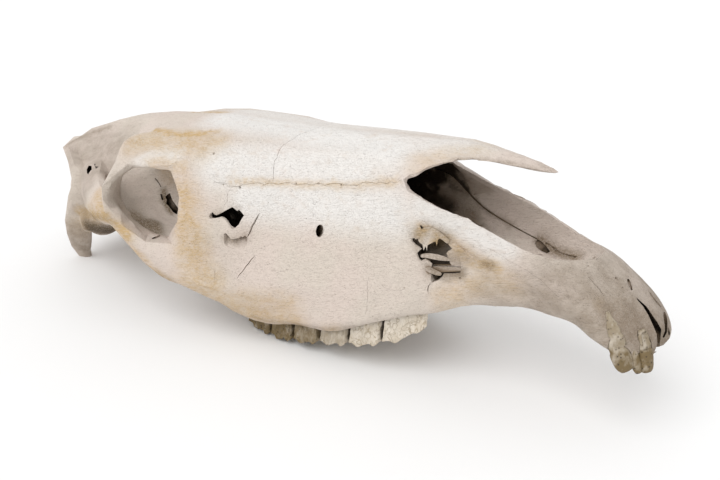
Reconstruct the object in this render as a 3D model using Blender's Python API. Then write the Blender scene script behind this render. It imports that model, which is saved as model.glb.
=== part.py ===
# Mule skull: the cranium without its lower jaw, resting on its back teeth and the tips
# of its jugular processes. X runs forward to the incisors, Y to the animal's left, Z up
# from the surface it rests on. Numbers in the tables are millimetres.
import math

import bmesh
import bpy
import numpy as np
from mathutils import Vector

MM = 0.001
ROW_SHIFT_X = 78.6          # the tables' zero is between the third and fourth cheek teeth
VOXEL_FUSE = 2.6            # cell of the remesh that fuses the bones
VOXEL_SOFTEN = 2.0          # cell of the remesh that rounds the cut edges
CRANIUM_TRIANGLES = 7600
SOFTENING = (0.5, 4)        # strength and rounds of the smoothing
ROOF_BEND = (0.55, 0.28)    # half way out the roof has fallen this share of its drop
GROUND = (400, 200, 60)     # half length, half width and depth of the block below the skull
SOCKET_GAP = 1.0            # air round a tooth in its socket
TOOTH_GAP = 0.7             # air between two teeth in a row
ROOT_DEPTH = 20.0           # how far a cheek tooth goes into the jaw
ROOT_LEAN = 5.0             # how far inwards a cheek tooth's root leans
ROOT_SHRINK = 0.94          # length of the root's end against the biting edge

BONE = {"name": "bone", "colour": (0.80, 0.74, 0.66, 1.0), "rough": 0.75}
TOOTH = {"name": "tooth", "colour": (0.66, 0.60, 0.48, 1.0), "rough": 0.5}

# Face: one row per station. x, then top z, and (y, z) of the roof edge, upper cheek,
# cheek, crest, underside of the crest, outer and inner gum edge, and the palate's z.
FACE = [
    (50, 170, (34, 153), (38, 138), (42, 112), (44, 86), (46, 70), (46, 57), (28, 60), 74),
    (20, 170, (34, 158), (44, 140), (50, 112), (55, 80), (57, 62), (55.5, 45), (31, 48), 62),
    (-10, 168, (36, 157), (48, 138), (55, 108), (61, 72), (62, 52), (60, 30), (34, 33), 51),
    (-40, 166, (39, 153), (53, 133), (60, 103), (67, 62), (67, 43), (61, 23), (35, 27), 44),
    (-68, 164, (45, 151), (58, 131), (66, 98), (76, 48), (73, 29), (63, 17), (35, 23), 40),
    (-95, 163, (54, 150), (67, 127), (75, 96), (87, 50), (83, 33), (65, 19), (34, 24), 40),
    (-118, 163, (62, 148), (76, 123), (83, 94), (93, 56), (91, 41), (66, 34), (32, 34), 46),
    (-138, 162, (70, 144), (81, 122), (87, 96), (96, 60), (94, 45), (72, 46), (34, 48), 56),
    (-150, 161, (74, 142), (79, 124), (80, 100), (92, 62), (90, 49), (68, 54), (34, 58), 64),
]

# Frontal plate over the orbits: x, middle z, edge (y, z), thickness in the middle.
FRONTAL = [
    (-95, 163, (56, 146), 30),
    (-125, 163, (70, 141), 26),
    (-150, 162, (80, 137), 22),
    (-172, 160, (86, 136), 20),
    (-188, 158, (87, 135), 20),
    (-203, 155, (80, 133), 20),
    (-218, 152, (62, 134), 22),
    (-232, 149, (40, 141), 24),
    (-250, 146, (22, 142), 26),
]

# Braincase: x, top z, then (y, z) at the temporal line, upper wall, widest, lower wall
# and base edge, and the base's z.
BRAIN = [
    (-128, 158, (40, 140), (44, 118), (42, 95), (40, 74), (26, 58), 56),
    (-160, 156, (38, 142), (42, 118), (41, 92), (38, 66), (22, 48), 46),
    (-195, 154, (36, 144), (41, 118), (43, 90), (37, 64), (20, 48), 45),
    (-228, 151, (26, 147), (42, 124), (47, 96), (38, 64), (16, 51), 48),
    (-258, 146.5, (16, 143), (42, 122), (54, 92), (48, 62), (18, 51), 48),
    (-288, 138, (10, 136), (38, 114), (57, 84), (56, 58), (24, 46), 42),
    (-312, 130, (9, 128), (36, 106), (55, 80), (56, 54), (26, 38), 34),
    (-332, 123, (12, 121), (34, 102), (42, 78), (46, 50), (24, 30), 27),
    (-346, 118, (18, 115), (28, 98), (36, 76), (38, 50), (20, 30), 27),
    (-358, 113, (18, 110), (22, 99), (24, 86), (22, 74), (12, 66), 64),
]

# Nasal bones: x, ridge z, half width, z of the lower edge, thickness at the ridge.
NASAL = [
    (-30, 166, 36, 152, 16),
    (10, 169.5, 37, 153, 12),
    (37, 171, 37, 151, 11),
    (48, 171.3, 33.5, 157.5, 10),
    (60, 171, 28, 162.5, 9),
    (72, 170.4, 22, 165.2, 8.5),
    (84, 169.6, 16.5, 165.6, 8),
    (96, 168.3, 12.3, 165.2, 7.5),
    (108, 166.6, 8.6, 164.2, 6.5),
    (119, 164.6, 5.2, 162.8, 5.2),
    (126, 163, 2.6, 161.8, 3.6),
    (129, 162.4, 1.0, 161.6, 1.6),
]

# Muzzle: x, then (y, z) of the notch edge, upper side, lower side, gum edge and palate
# edge, and the palate's z.
MUZZLE = [
    (20, (40, 148), (48, 120), (53, 84), (54.5, 50), (30, 52), 64),
    (40, (40, 148), (45, 122), (48, 88), (49.5, 56), (27, 58), 70),
    (62, (39, 141), (41, 118), (43, 90), (40, 60), (26, 62), 73),
    (85, (37, 136), (39, 114), (38.5, 90), (32, 65.5), (23, 67), 75),
    (106, (34, 129), (36.5, 110), (35, 90), (28.5, 70), (20, 71), 78),
    (125, (30, 121), (34, 107), (33, 90), (27.5, 74), (19, 75), 80),
    (143, (21, 114.5), (31, 105), (33.5, 90), (28.5, 75), (19, 75), 79),
    (160, (12, 112), (26.5, 105), (34.5, 89), (31, 75), (20, 72), 75),
    (176, (9, 104), (24, 96.5), (35.5, 82), (34, 70), (20, 66), 70),
    (190, (8, 93), (20, 87.5), (32, 77), (32, 64), (16, 60), 63),
    (200, (7, 81.5), (15, 78), (26, 71), (27, 60), (12, 57), 60),
    (207, (6, 73), (11, 71), (18, 66), (19, 57), (9, 55), 57),
]

# Swept bones of the right side. Each row is the centre x, y, z, half width, half
# thickness and the direction of the width.
ARCH = [
    (-100, -70, 60, 22, 12, (0, 0, 1)),
    (-128, -84, 60, 20, 10, (0, 0, 1)),
    (-150, -91, 60, 17, 8, (0, -0.1, 1)),
    (-166, -94, 64, 13.5, 7.5, (0, -0.35, 1)),
    (-180, -96, 73, 11, 7, (0, -0.5, 1)),
    (-196, -97, 86, 11, 6.5, (0, -0.25, 1)),
    (-214, -95, 90, 12, 6.5, (0, 0, 1)),
    (-234, -89, 89, 13, 8, (0, 0, 1)),
    (-254, -79, 88, 14, 10, (0, 0, 1)),
    (-274, -64, 86, 16, 12, (0, 0, 1)),
    (-292, -48, 86, 16, 10, (0, 0, 1)),
]
EYE_BAR = [
    (-200, -52, 141, 17, 9, (1, 0, 0)),
    (-199, -70, 136.5, 16, 7.5, (1, 0, -0.1)),
    (-201, -83, 129, 14.5, 6, (0.8, -0.5, 0)),
    (-206, -90, 117, 14, 5.2, (0.5, -0.8, 0)),
    (-209, -92, 104, 14, 5.2, (0.45, -0.85, 0)),
    (-206, -92.5, 92, 14, 6.5, (0.45, -0.85, 0.1)),
    (-199, -93, 82, 12, 8, (0.5, -0.8, 0.3)),
]
EYE_FLOOR = [
    (-203, -88, 84, 11, 5, (0.3, 0.9, 0.1)),
    (-186, -87, 76, 12, 4.5, (0.2, 0.9, -0.3)),
    (-168, -85, 71, 13, 4.5, (0, 0.9, -0.3)),
    (-150, -80, 70, 14, 6, (0, 0.9, -0.2)),
    (-132, -74, 72, 14, 8, (0, 0.9, 0)),
]
NECK_RIDGE = [
    (-361, -8, 108, 6, 6, (0, 0, 1)),
    (-357.5, -24, 105, 6, 6, (0, 0, 1)),
    (-338, -35, 98, 6, 6, (0, 0, 1)),
    (-320, -45, 94, 7, 6, (0, 0, 1)),
    (-308, -53, 84, 8, 6, (1, 0, 0)),
    (-310, -57, 70, 9, 6, (1, 0, 0)),
    (-316, -56, 54, 9, 6, (1, 0, 0)),
]
JUGULAR = [
    (-310, -50, 70, 14, 8, (1, 0.2, 0)),
    (-315, -52.5, 54, 14, 7, (1, 0.3, 0)),
    (-321, -52, 38, 14, 5.5, (1, 0.35, 0)),
    (-329, -48, 21, 12.5, 4.8, (1, 0.4, 0)),
    (-335, -43.5, 8, 10.5, 4.4, (1, 0.4, 0)),
    (-339, -40, -3, 9, 4, (1, 0.4, 0)),
]
CONDYLE = [
    (-334, -12, 31, 9, 8, (0, 0.4, 1)),
    (-345, -20, 34, 12, 10, (0, 0.3, 1)),
    (-348, -29, 44, 13, 10, (0, 0.4, 1)),
    (-340, -34, 54, 10, 8, (0, 0.2, 1)),
]
JAW_SEAT = [
    (-232, -60, 78, 8, 8, (1, 0, 0)),
    (-234, -76, 80, 9, 8, (1, 0, 0)),
    (-232, -90, 82, 8, 8, (1, 0, 0)),
]
JAW_STOP = [
    (-256, -70, 90, 9, 9, (0, 1, 0)),
    (-260, -69, 76, 9, 6.5, (0, 1, 0)),
    (-261, -67, 64, 7, 5, (0, 1, 0)),
]
EAR_BLOCK = [
    (-258, -56, 64, 12, 11, (1, 0, 0)),
    (-274, -56, 56, 14, 12, (1, 0, 0)),
    (-290, -54, 51, 14, 11, (1, 0, 0)),
    (-304, -52, 54, 12, 10, (1, 0, 0)),
]
WING_PLATE = [
    (-112, -24, 62, 16, 4.5, (0, -0.1, 1)),
    (-130, -24, 54, 19, 4, (0, -0.1, 1)),
    (-150, -23, 48, 17, 3.6, (0.1, -0.1, 1)),
    (-170, -22, 46, 13, 3.6, (0.2, -0.1, 1)),
    (-192, -23, 50, 13, 5, (0.1, -0.1, 1)),
    (-215, -25, 50, 13, 6, (0, -0.1, 1)),
    (-238, -24, 49, 11, 6, (0, 0, 1)),
    (-256, -20, 47, 8, 5, (0, 0, 1)),
]
TOOTH_BULB = [
    (-88, -50, 46, 22, 16, (0, 0, 1)),
    (-106, -50, 46, 21, 15, (0, 0, 1)),
    (-122, -48, 54, 17, 13, (0, 0, 1)),
    (-132, -46, 66, 12, 10, (0, 0, 1)),
]
BASE_BAR = [
    (-150, 0, 64, 12, 12, (0, 1, 0)),
    (-190, 0, 56, 15, 9, (0, 1, 0)),
    (-230, 0, 53, 15, 8, (0, 1, 0)),
    (-275, 0, 49, 16, 8, (0, 1, 0)),
    (-315, 0, 38, 18, 8, (0, 1, 0)),
    (-337, 0, 30, 16, 5, (0, 1, 0)),
]

# Hollows. The nose: x, top (y, z), wall (y, z), low wall (y, z), floor edge (y, z), floor z.
NOSE = [
    (-92, 150, (34, 142), (46, 116), (22, 84), (16, 66), 64),
    (-70, 152, (37, 144), (53, 116), (26, 84), (20, 62), 58),
    (-40, 155, (34, 147), (54, 116), (30, 84), (22, 60), 56),
    (-5, 158, (32, 150), (49, 118), (30, 84), (22, 64), 61),
    (25, 160, (31, 151), (43, 120), (35, 86), (22, 74), 72),
    (45, 163, (31, 150), (39, 120), (37, 88), (22, 80), 80),
    (70, 166, (34, 146), (36, 118), (34, 90), (20, 83), 83),
    (95, 168, (33, 140), (33, 112), (30, 92), (16, 86), 86),
    (118, 170, (30, 134), (29, 110), (24, 95), (12, 90), 90),
    (136, 172, (26, 130), (24, 110), (16, 100), (9, 96), 96),
    (150, 174, (22, 130), (17, 110), (11, 103), (6, 100), 100),
    (161, 176, (12, 132), (8, 112), (6, 108), (3, 106), 106),
]
SINUS = [
    (-124, -62, 112, 10, 8, (0, 0, 1)),
    (-112, -62, 98, 20, 9, (0, 0, 1)),
    (-94, -58, 92, 24, 9, (0, 0, 1)),
    (-72, -53, 92, 22, 8, (0, 0, 1)),
    (-54, -50, 94, 16, 7, (0, 0, 1)),
]
VAULT = [
    (-128, 20, -20, 38, 36),
    (-100, 29, -20, 26, 33),
    (-60, 31, -10, 26, 35),
    (-20, 31, 0, 33, 42),
    (20, 28, 14, 46, 56),
    (50, 24, 24, 58, 68),
]
THROAT = [
    (-166, 0, 26, 15, 24, (0, 1, 0)),
    (-142, 0, 42, 18, 21, (0, 1, 0)),
    (-114, 0, 60, 19, 16, (0, 1, 0)),
    (-86, 0, 76, 17, 15, (0, 1, 0)),
]
EYE_SOCKET = [
    (-163, -118, 109, 35, 32, (1, 0, 0)),
    (-167, -98, 109, 32.5, 30, (1, 0, 0)),
    (-172, -84, 107, 31, 29, (1, 0, 0)),
    (-177, -68, 104, 27, 26, (1, 0, 0)),
    (-180, -52, 99, 20, 20, (1, 0, 0)),
    (-182, -44, 95, 12, 12, (1, 0, 0)),
]
SPINE_HOLE = [
    (-376, 0, 50, 17, 15, (0, 1, 0)),
    (-345, 0, 52, 17, 16, (0, 1, 0)),
    (-322, 0, 64, 24, 22, (0, 1, 0)),
    (-295, 0, 86, 40, 32, (0, 1, 0)),
    (-260, 0, 96, 40, 34, (0, 1, 0)),
    (-225, 0, 102, 34, 32, (0, 1, 0)),
    (-205, 0, 104, 22, 20, (0, 1, 0)),
]
LIP_SLIT = [
    (174, 0, 98, 4, 1.6, (0, 0, 1)),
    (186, 0, 84, 12, 2.6, (0, 0, 1)),
    (198, 0, 70, 16, 3.2, (0, 0, 1)),
    (212, 0, 58, 18, 3.6, (0, 0, 1)),
]
EYE_HOLE = [
    (-188, -56, 98, 8, 6, (0, 0, 1)),
    (-178, -57, 97, 9, 7, (0, 0, 1)),
    (-164, -58, 96, 9, 7, (0, 0, 1)),
    (-150, -56, 98, 8, 7, (0, 0, 1)),
    (-122, -56, 100, 8, 7, (0, 0, 1)),
]
TEMPLE_HOLE = [
    (-283, -70, 99.5, 5, 3.4, (0, 0, 1)),
    (-283, -52, 99.5, 5, 3.4, (0, 0, 1)),
    (-283, -32, 97, 5, 3.4, (0, 0, 1)),
]
CHEEK_CANAL = [
    (-18, -68, 105, 5.5, 4.5, (0, 0, 1)),
    (-24, -56, 104, 5.5, 4.5, (0, 0, 1)),
    (-36, -50, 100, 4.5, 3.5, (0, 0, 1)),
]
PALATE_SLOT = [
    (104, -14, 60, 9, 3.2, (1, 0, 0)),
    (108, -16, 80, 9, 3.4, (1, 0, 0)),
    (112, -18, 104, 8, 3.4, (1, 0, 0)),
]

# The rim of the nose opening, as outlines (x, z) seen from the side; the left is lower.
NOTCH_TOP = 190
NOTCH_RIGHT = [(36, 148), (42, 143.5), (54, 139), (70, 136), (80, 134), (89, 132), (98, 128),
               (111, 123), (122, 118), (131, 116), (142, 113.5), (153, 112), (163, 114)]
NOTCH_LEFT = [(23, 149), (32, 143.5), (42, 139.5), (59, 133.5), (80, 128), (97, 125), (112, 120.5),
              (124, 116.5), (136, 114), (150, 112.5), (163, 114)]

# Broken places in the right cheek, as outlines (x, z) seen from the side.
CHEEK_BREAK = [(-112, 99), (-103, 102), (-97, 111), (-87, 105), (-97, 93)]
CHEEK_SLIT = [(-99, 83), (-92, 84), (-85, 88), (-78, 104), (-81, 90), (-86, 80), (-91, 73), (-98, 80)]
CHEEK_BREAK_Y = (-100, -54)
NOSE_BREAK = [(45, 111), (52, 119), (62, 119), (72, 114), (79, 109), (76, 100), (70, 90), (63, 83), (58, 95)]
NOSE_BREAK_Y = (-60, -30)

# Cheek teeth: name, x at the front and the back, outer y at the front and the back,
# inner y at the front and the back. The heights of the biting edge and of the gum follow.
CHEEK_TEETH = [
    ("P2", 61, 27, -41, -54, -36, -31),
    ("P3", 27, 0, -54.5, -58, -31, -32),
    ("P4", 0, -26, -58.5, -60, -32, -33),
    ("M1", -26, -51, -60.5, -61, -33, -34),
    ("M2", -51, -75, -61, -60, -34, -34),
    ("M3", -75, -105, -60, -53, -34, -37),
]
BITE_X = (-110, -75, -62, -38, -15, 12, 38, 61)
BITE_Z = (0, 0, 1.2, 6, 12, 18.5, 27, 43)
GUM_X = (-110, -75, -40, -10, 20, 45, 61)
GUM_Z = (20, 18, 23, 29, 44, 55, 60)

# Incisors: name, neck x, y, z, tip x, y, z, half width and half depth at the neck.
INCISORS = [
    ("incisor_right_third", 187, -29.5, 72, 195, -28, 54, 8.5, 5),
    ("incisor_right_second", 199, -18.5, 70, 205, -20, 51, 5.5, 4.5),
]
# Empty incisor sockets: depth x, y, z and mouth x, y, z.
LOST_INCISORS = [
    (186, -7, 78, 209, -8, 54),
    (186, 7, 78, 209, 8, 54),
    (180, 16, 76, 205, 19, 52),
    (172, 25, 76, 196, 30, 54),
]
INCISOR_ROOT = 12           # length of an incisor's root above its neck
INCISOR_TAPER = (0.7, 1.0, 0.9)   # its size at the root's end, the neck and the tip
LOST_SOCKET = ((2.5, 2.5), (4.5, 3.4), (5.5, 4))   # an empty socket's half sizes, depth to mouth
SNOUT_TWIST = 0.12          # how much the left half of the snout stands forward of the right
SNOUT_TWIST_X = (150, 180)  # where that starts and where it is whole


def clear_scene():
    for obj in list(bpy.data.objects):
        bpy.data.objects.remove(obj, do_unlink=True)


def material(look):
    mat = bpy.data.materials.new(look["name"])
    mat.use_nodes = True
    shader = mat.node_tree.nodes["Principled BSDF"]
    shader.inputs["Base Color"].default_value = look["colour"]
    shader.inputs["Roughness"].default_value = look["rough"]
    return mat


def curve_through(rows, steps):
    """Points of a Catmull-Rom curve through the rows, steps to each stretch."""
    rows = np.asarray(rows, float)
    ends = np.vstack([2 * rows[0] - rows[1], rows, 2 * rows[-1] - rows[-2]])
    found = []
    for i in range(len(rows) - 1):
        a, b, c, d = ends[i : i + 4]
        for k in range(steps):
            t = k / steps
            found.append(
                0.5 * (2 * b + (c - a) * t + (2 * a - 5 * b + 4 * c - d) * t * t
                       + (3 * b - a - 3 * c + d) * t ** 3)
            )
    found.append(rows[-1])
    return np.array(found)


def closed_through(points, steps):
    """A closed Catmull-Rom ring through the points."""
    points = np.asarray(points, float)
    around = np.vstack([points[-1], points, points[0], points[1]])
    return curve_through(around, steps)[steps:-steps - 1]


def solid_from_rings(name, rings):
    """Bridges one ring to the next and closes both ends."""
    mesh = bpy.data.meshes.new(name)
    bm = bmesh.new()
    loops = [[bm.verts.new(Vector(p) * MM) for p in ring] for ring in rings]
    count = len(loops[0])
    for one, two in zip(loops, loops[1:]):
        for i in range(count):
            j = (i + 1) % count
            bm.faces.new((one[i], one[j], two[j], two[i]))
    bm.faces.new(loops[0])
    bm.faces.new(loops[-1])
    bmesh.ops.recalc_face_normals(bm, faces=bm.faces)
    bm.to_mesh(mesh)
    bm.free()
    obj = bpy.data.objects.new(name, mesh)
    bpy.context.scene.collection.objects.link(obj)
    return obj


def loft(name, stations, along=4, around=3):
    """A solid through stations of (x, right half outline from top middle to bottom middle)."""
    outlines = []
    for x, half in stations:
        half = np.asarray(half, float)
        whole = np.vstack([half, (half * [-1, 1])[-2:0:-1]])
        ring = closed_through(whole, around)
        outlines.append(np.column_stack([np.full(len(ring), x), ring]).ravel())
    return solid_from_rings(name, curve_through(outlines, along).reshape(-1, len(ring), 3))


def sweep(name, rows, along=4, around=14, side=1):
    """A bone of changing oval section along a path. side -1 gives the left one."""
    flat = [(x, y, z, a, b, *Vector(way).normalized()) for x, y, z, a, b, way in rows]
    path = curve_through(flat, along)
    rings = []
    for i, row in enumerate(path):
        tangent = Vector(path[min(i + 1, len(path) - 1)][:3] - path[max(i - 1, 0)][:3]).normalized()
        wide = Vector(row[5:8])
        wide = (wide - tangent * wide.dot(tangent)).normalized()
        thick = tangent.cross(wide)
        centre = Vector(row[:3])
        ring = []
        for k in range(around):
            angle = 2 * math.pi * k / around
            p = centre + wide * (row[3] * math.cos(angle)) + thick * (row[4] * math.sin(angle))
            ring.append((p.x, p.y * side, p.z))
        rings.append(ring)
    return solid_from_rings(name, rings)


def both_sides(name, rows):
    return [sweep(name + "_right", rows), sweep(name + "_left", rows, side=-1)]


def joined(name, objects):
    """One object of all the shapes, each still closed."""
    bm = bmesh.new()
    for obj in objects:
        bm.from_mesh(obj.data)
        bpy.data.objects.remove(obj, do_unlink=True)
    mesh = bpy.data.meshes.new(name)
    bm.to_mesh(mesh)
    bm.free()
    result = bpy.data.objects.new(name, mesh)
    bpy.context.scene.collection.objects.link(result)
    return result


def apply_modifiers(obj):
    graph = bpy.context.evaluated_depsgraph_get()
    mesh = bpy.data.meshes.new_from_object(obj.evaluated_get(graph))
    obj.modifiers.clear()
    obj.data = mesh


def remesh(obj, cell):
    mod = obj.modifiers.new("fuse", "REMESH")
    mod.mode = "VOXEL"
    mod.voxel_size = cell * MM
    apply_modifiers(obj)


def smooth(obj, factor, times):
    mod = obj.modifiers.new("smooth", "SMOOTH")
    mod.factor = factor
    mod.iterations = times
    apply_modifiers(obj)


def cut(obj, cutter):
    mod = obj.modifiers.new("cut", "BOOLEAN")
    mod.operation = "DIFFERENCE"
    mod.solver = "EXACT"
    mod.object = cutter
    apply_modifiers(obj)
    bpy.data.objects.remove(cutter, do_unlink=True)


def roof_bend(width, top, edge):
    return (width * ROOF_BEND[0], top - (top - edge) * ROOF_BEND[1])


def face_solid():
    stations = []
    for x, top, roof, upper, cheek, crest, under, outer, inner, palate in FACE:
        half = [(0, top), roof_bend(roof[0], top, roof[1]), roof, upper, cheek,
                crest, under, outer, inner, (inner[0] * 0.6, palate - 1), (0, palate)]
        stations.append((x, half))
    return loft("face", stations)


def frontal_solid():
    stations = []
    for x, top, edge, thick in FRONTAL:
        half = [(0, top), (edge[0] * 0.5, top - (top - edge[1]) * 0.22),
                (edge[0] * 0.85, edge[1] + (top - edge[1]) * 0.28), edge,
                (edge[0] * 0.93, edge[1] - 6), (edge[0] * 0.55, top - thick - 2), (0, top - thick)]
        stations.append((x, half))
    return loft("frontal", stations)


def brain_solid():
    stations = []
    for x, top, line, upper, wide, lower, base, low in BRAIN:
        stations.append((x, [(0, top), line, upper, wide, lower, base, (0, low)]))
    return loft("braincase", stations)


def nasal_solid():
    stations = []
    for x, ridge, half, edge, thick in NASAL:
        stations.append((x, [(0, ridge), roof_bend(half, ridge, edge), (half, edge),
                             (half * 0.8, edge - thick * 0.12), (0, ridge - thick)]))
    return loft("nasal", stations)


def muzzle_solid():
    stations = []
    for x, notch, upper, lower, gum, palate_edge, palate in MUZZLE:
        stations.append((x, [(0, notch[1] + 0.5), (notch[0] * 0.6, notch[1] + 0.5), notch, upper,
                             lower, gum, palate_edge, (0, palate)]))
    return loft("muzzle", stations)


def nose_hollow():
    stations = []
    for x, top, roof, wall, low, edge, floor in NOSE:
        stations.append((x, [(0, top), roof, wall, low, edge, (0, floor)]))
    return loft("nose_hollow", stations)


def vault_hollow():
    stations = []
    for x, half, low, edge, top in VAULT:
        stations.append((x, [(0, top), (half * 0.7, top - 1.5), (half, edge), (half, low), (0, low)]))
    return loft("vault_hollow", stations)


def break_hollow(name, outline, reach):
    rings = [[(x, y, z) for x, z in outline] for y in reach]
    return solid_from_rings(name, rings)


def tooth_outline(row):
    """The cheek side with its two lobes, then the palate side with its own two."""
    _, front, back, out_front, out_back, in_front, in_back = row
    front -= TOOTH_GAP / 2
    back += TOOTH_GAP / 2

    def along(share, one, two, lift):
        return (front + (back - front) * share, one + (two - one) * share + lift)

    outer = [along(s, out_front, out_back, lift) for s, lift in
             ((0.0, 1.5), (0.12, 0.0), (0.28, 1.4), (0.45, 0.0),
              (0.53, 0.0), (0.70, 1.4), (0.88, 0.0), (1.0, 1.5))]
    inner = [along(s, in_front, in_back, lift) for s, lift in
             ((0.94, -1.8), (0.62, 0.6), (0.5, -0.8), (0.38, 0.6), (0.06, -1.8))]
    return outer + inner


def tooth_ring(outline, side, share, shrink=1.0):
    """The outline at a share of the way from the biting edge to the root's end."""
    middle = sum(x for x, _ in outline) / len(outline)
    ring = []
    for x, y in outline:
        bite = np.interp(x, BITE_X, BITE_Z)
        root = np.interp(x, GUM_X, GUM_Z) + ROOT_DEPTH
        ring.append((middle + (x - middle) * shrink, (y + ROOT_LEAN * share) * side,
                     bite + (root - bite) * share))
    return ring


def cheek_tooth(name, row, side):
    outline = tooth_outline(row)
    rings = [tooth_ring(outline, side, 0.0), tooth_ring(outline, side, 1.0, ROOT_SHRINK)]
    return solid_from_rings(name, rings)


def socket_trench(side):
    """The sockets of one row of cheek teeth, as one trench."""
    xs = [CHEEK_TEETH[0][1] + SOCKET_GAP] + [row[2] for row in CHEEK_TEETH]
    xs[-1] -= SOCKET_GAP
    outer = [CHEEK_TEETH[0][3]] + [row[4] for row in CHEEK_TEETH]
    inner = [CHEEK_TEETH[0][5]] + [row[6] for row in CHEEK_TEETH]
    outline = [(x, y - SOCKET_GAP) for x, y in zip(xs, outer)]
    outline += [(x, y + SOCKET_GAP + 1) for x, y in zip(xs[::-1], inner[::-1])]
    return solid_from_rings("trench", [tooth_ring(outline, side, -0.15), tooth_ring(outline, side, 1.1)])


def incisor(name, row, grow=0.0):
    _, nx, ny, nz, tx, ty, tz, wide, deep = row
    neck, tip = Vector((nx, ny, nz)), Vector((tx, ty, tz))
    root = neck + (neck - tip).normalized() * INCISOR_ROOT
    across = Vector((-ny, nx - SNOUT_TWIST_X[0], 0)).normalized()
    rows = []
    for centre, share in zip((root, neck, tip), INCISOR_TAPER):
        rows.append((*centre, wide * share + grow, deep * share + grow, tuple(across)))
    if grow:
        rows.append((*(tip + (tip - neck) * 0.4), wide + grow, deep + grow, tuple(across)))
    return sweep(name, rows, along=2, around=10)


def empty_socket(row):
    bottom, mouth = Vector(row[:3]), Vector(row[3:])
    centres = (bottom, (bottom + mouth) / 2, mouth)
    rows = [(*centre, *size, (0, 1, 0)) for centre, size in zip(centres, LOST_SOCKET)]
    return sweep("empty", rows, along=2, around=10)


def notch_cutter(outline, side):
    """Clears everything above the rim of the nose opening on one side."""
    column = outline + [(outline[-1][0], NOTCH_TOP), (outline[0][0], NOTCH_TOP)]
    return break_hollow("notch", column, (-1.0 * side, 80.0 * side))


def fuse_bones():
    bones = [face_solid(), frontal_solid(), brain_solid(), muzzle_solid()]
    for name, rows in (("arch", ARCH), ("eye_bar", EYE_BAR), ("eye_floor", EYE_FLOOR),
                       ("neck_ridge", NECK_RIDGE), ("jugular", JUGULAR), ("condyle", CONDYLE),
                       ("jaw_seat", JAW_SEAT), ("jaw_stop", JAW_STOP), ("ear_block", EAR_BLOCK),
                       ("wing_plate", WING_PLATE), ("tooth_bulb", TOOTH_BULB)):
        bones += both_sides(name, rows)
    bones.append(sweep("base_bar", BASE_BAR))
    skull = joined("cranium", bones)
    remesh(skull, VOXEL_FUSE)
    return skull


def fuse_hollows():
    hollows = [nose_hollow(), vault_hollow(), notch_cutter(NOTCH_RIGHT, -1), notch_cutter(NOTCH_LEFT, 1)]
    for name, rows in (("throat", THROAT), ("spine_hole", SPINE_HOLE), ("lip_slit", LIP_SLIT),
                       ("sinus", SINUS), ("eye_hole", EYE_HOLE), ("temple_hole", TEMPLE_HOLE)):
        hollows.append(sweep(name, rows))
    for name, rows in (("eye_socket", EYE_SOCKET), ("cheek_canal", CHEEK_CANAL),
                       ("palate_slot", PALATE_SLOT)):
        hollows += both_sides(name, rows)
    hollows.append(break_hollow("cheek_break", CHEEK_BREAK, CHEEK_BREAK_Y))
    hollows.append(break_hollow("cheek_slit", CHEEK_SLIT, CHEEK_BREAK_Y))
    hollows.append(break_hollow("nose_break", NOSE_BREAK, NOSE_BREAK_Y))
    hollow = joined("hollow", hollows)
    remesh(hollow, VOXEL_SOFTEN)
    return hollow


def cranium():
    skull = fuse_bones()
    cut(skull, fuse_hollows())
    skull = joined("cranium", [skull, nasal_solid()])
    remesh(skull, VOXEL_SOFTEN)
    smooth(skull, *SOFTENING)
    keep_largest(skull)
    mod = skull.modifiers.new("thin_out", "DECIMATE")
    mod.ratio = CRANIUM_TRIANGLES / (2 * len(skull.data.polygons))
    apply_modifiers(skull)
    twist_snout(skull)

    cut(skull, socket_trench(1))
    cut(skull, socket_trench(-1))
    for row in INCISORS:
        cut(skull, incisor("socket", row, SOCKET_GAP))
    for row in LOST_INCISORS:
        cut(skull, empty_socket(row))
    cut(skull, ground_block())
    keep_largest(skull)
    return skull


def twist_snout(obj):
    for vert in obj.data.vertices:
        share = np.interp(vert.co.x / MM, SNOUT_TWIST_X, (0, 1))
        vert.co.x += SNOUT_TWIST * vert.co.y * share


def ground_block():
    """Takes off what would reach below the surface that the skull rests on."""
    length, width, depth = GROUND
    ring = [(-length, -width), (length, -width), (length, width), (-length, width)]
    return solid_from_rings("ground", [[(x, y, z) for x, y in ring] for z in (-depth, 0)])


def keep_largest(obj):
    """Drops crumbs that the cuts left loose."""
    bm = bmesh.new()
    bm.from_mesh(obj.data)
    left, islands = set(bm.verts), []
    while left:
        edge, island = [left.pop()], set()
        while edge:
            vert = edge.pop()
            island.add(vert)
            for link in vert.link_edges:
                other = link.other_vert(vert)
                if other in left:
                    left.discard(other)
                    edge.append(other)
        islands.append(island)
    islands.sort(key=len)
    for island in islands[:-1]:
        bmesh.ops.delete(bm, geom=list(island), context="VERTS")
    bm.to_mesh(obj.data)
    bm.free()


def finish(obj, mat):
    obj.data.materials.clear()
    obj.data.materials.append(mat)
    obj.location.x = ROW_SHIFT_X * MM


def main():
    clear_scene()
    bone, tooth = material(BONE), material(TOOTH)
    finish(cranium(), bone)
    for row in CHEEK_TEETH:
        for side, word in ((1, "right"), (-1, "left")):
            finish(cheek_tooth(f"tooth_{word}_{row[0]}", row, side), tooth)
    for row in INCISORS:
        finish(incisor(row[0], row), tooth)


main()
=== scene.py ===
# A mule's cranium without its lower jaw: sun-bleached, cracked and broken bone with twelve
# cheek teeth and two incisors left. The bones' tables are in millimetres. Their zero lies on the
# floor between the second and third cheek teeth, X runs forward, Y to the animal's left, Z up.
import math
import random

import bmesh
import bpy
import numpy as np
from mathutils import Matrix, Vector
from mathutils.bvhtree import BVHTree


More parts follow.
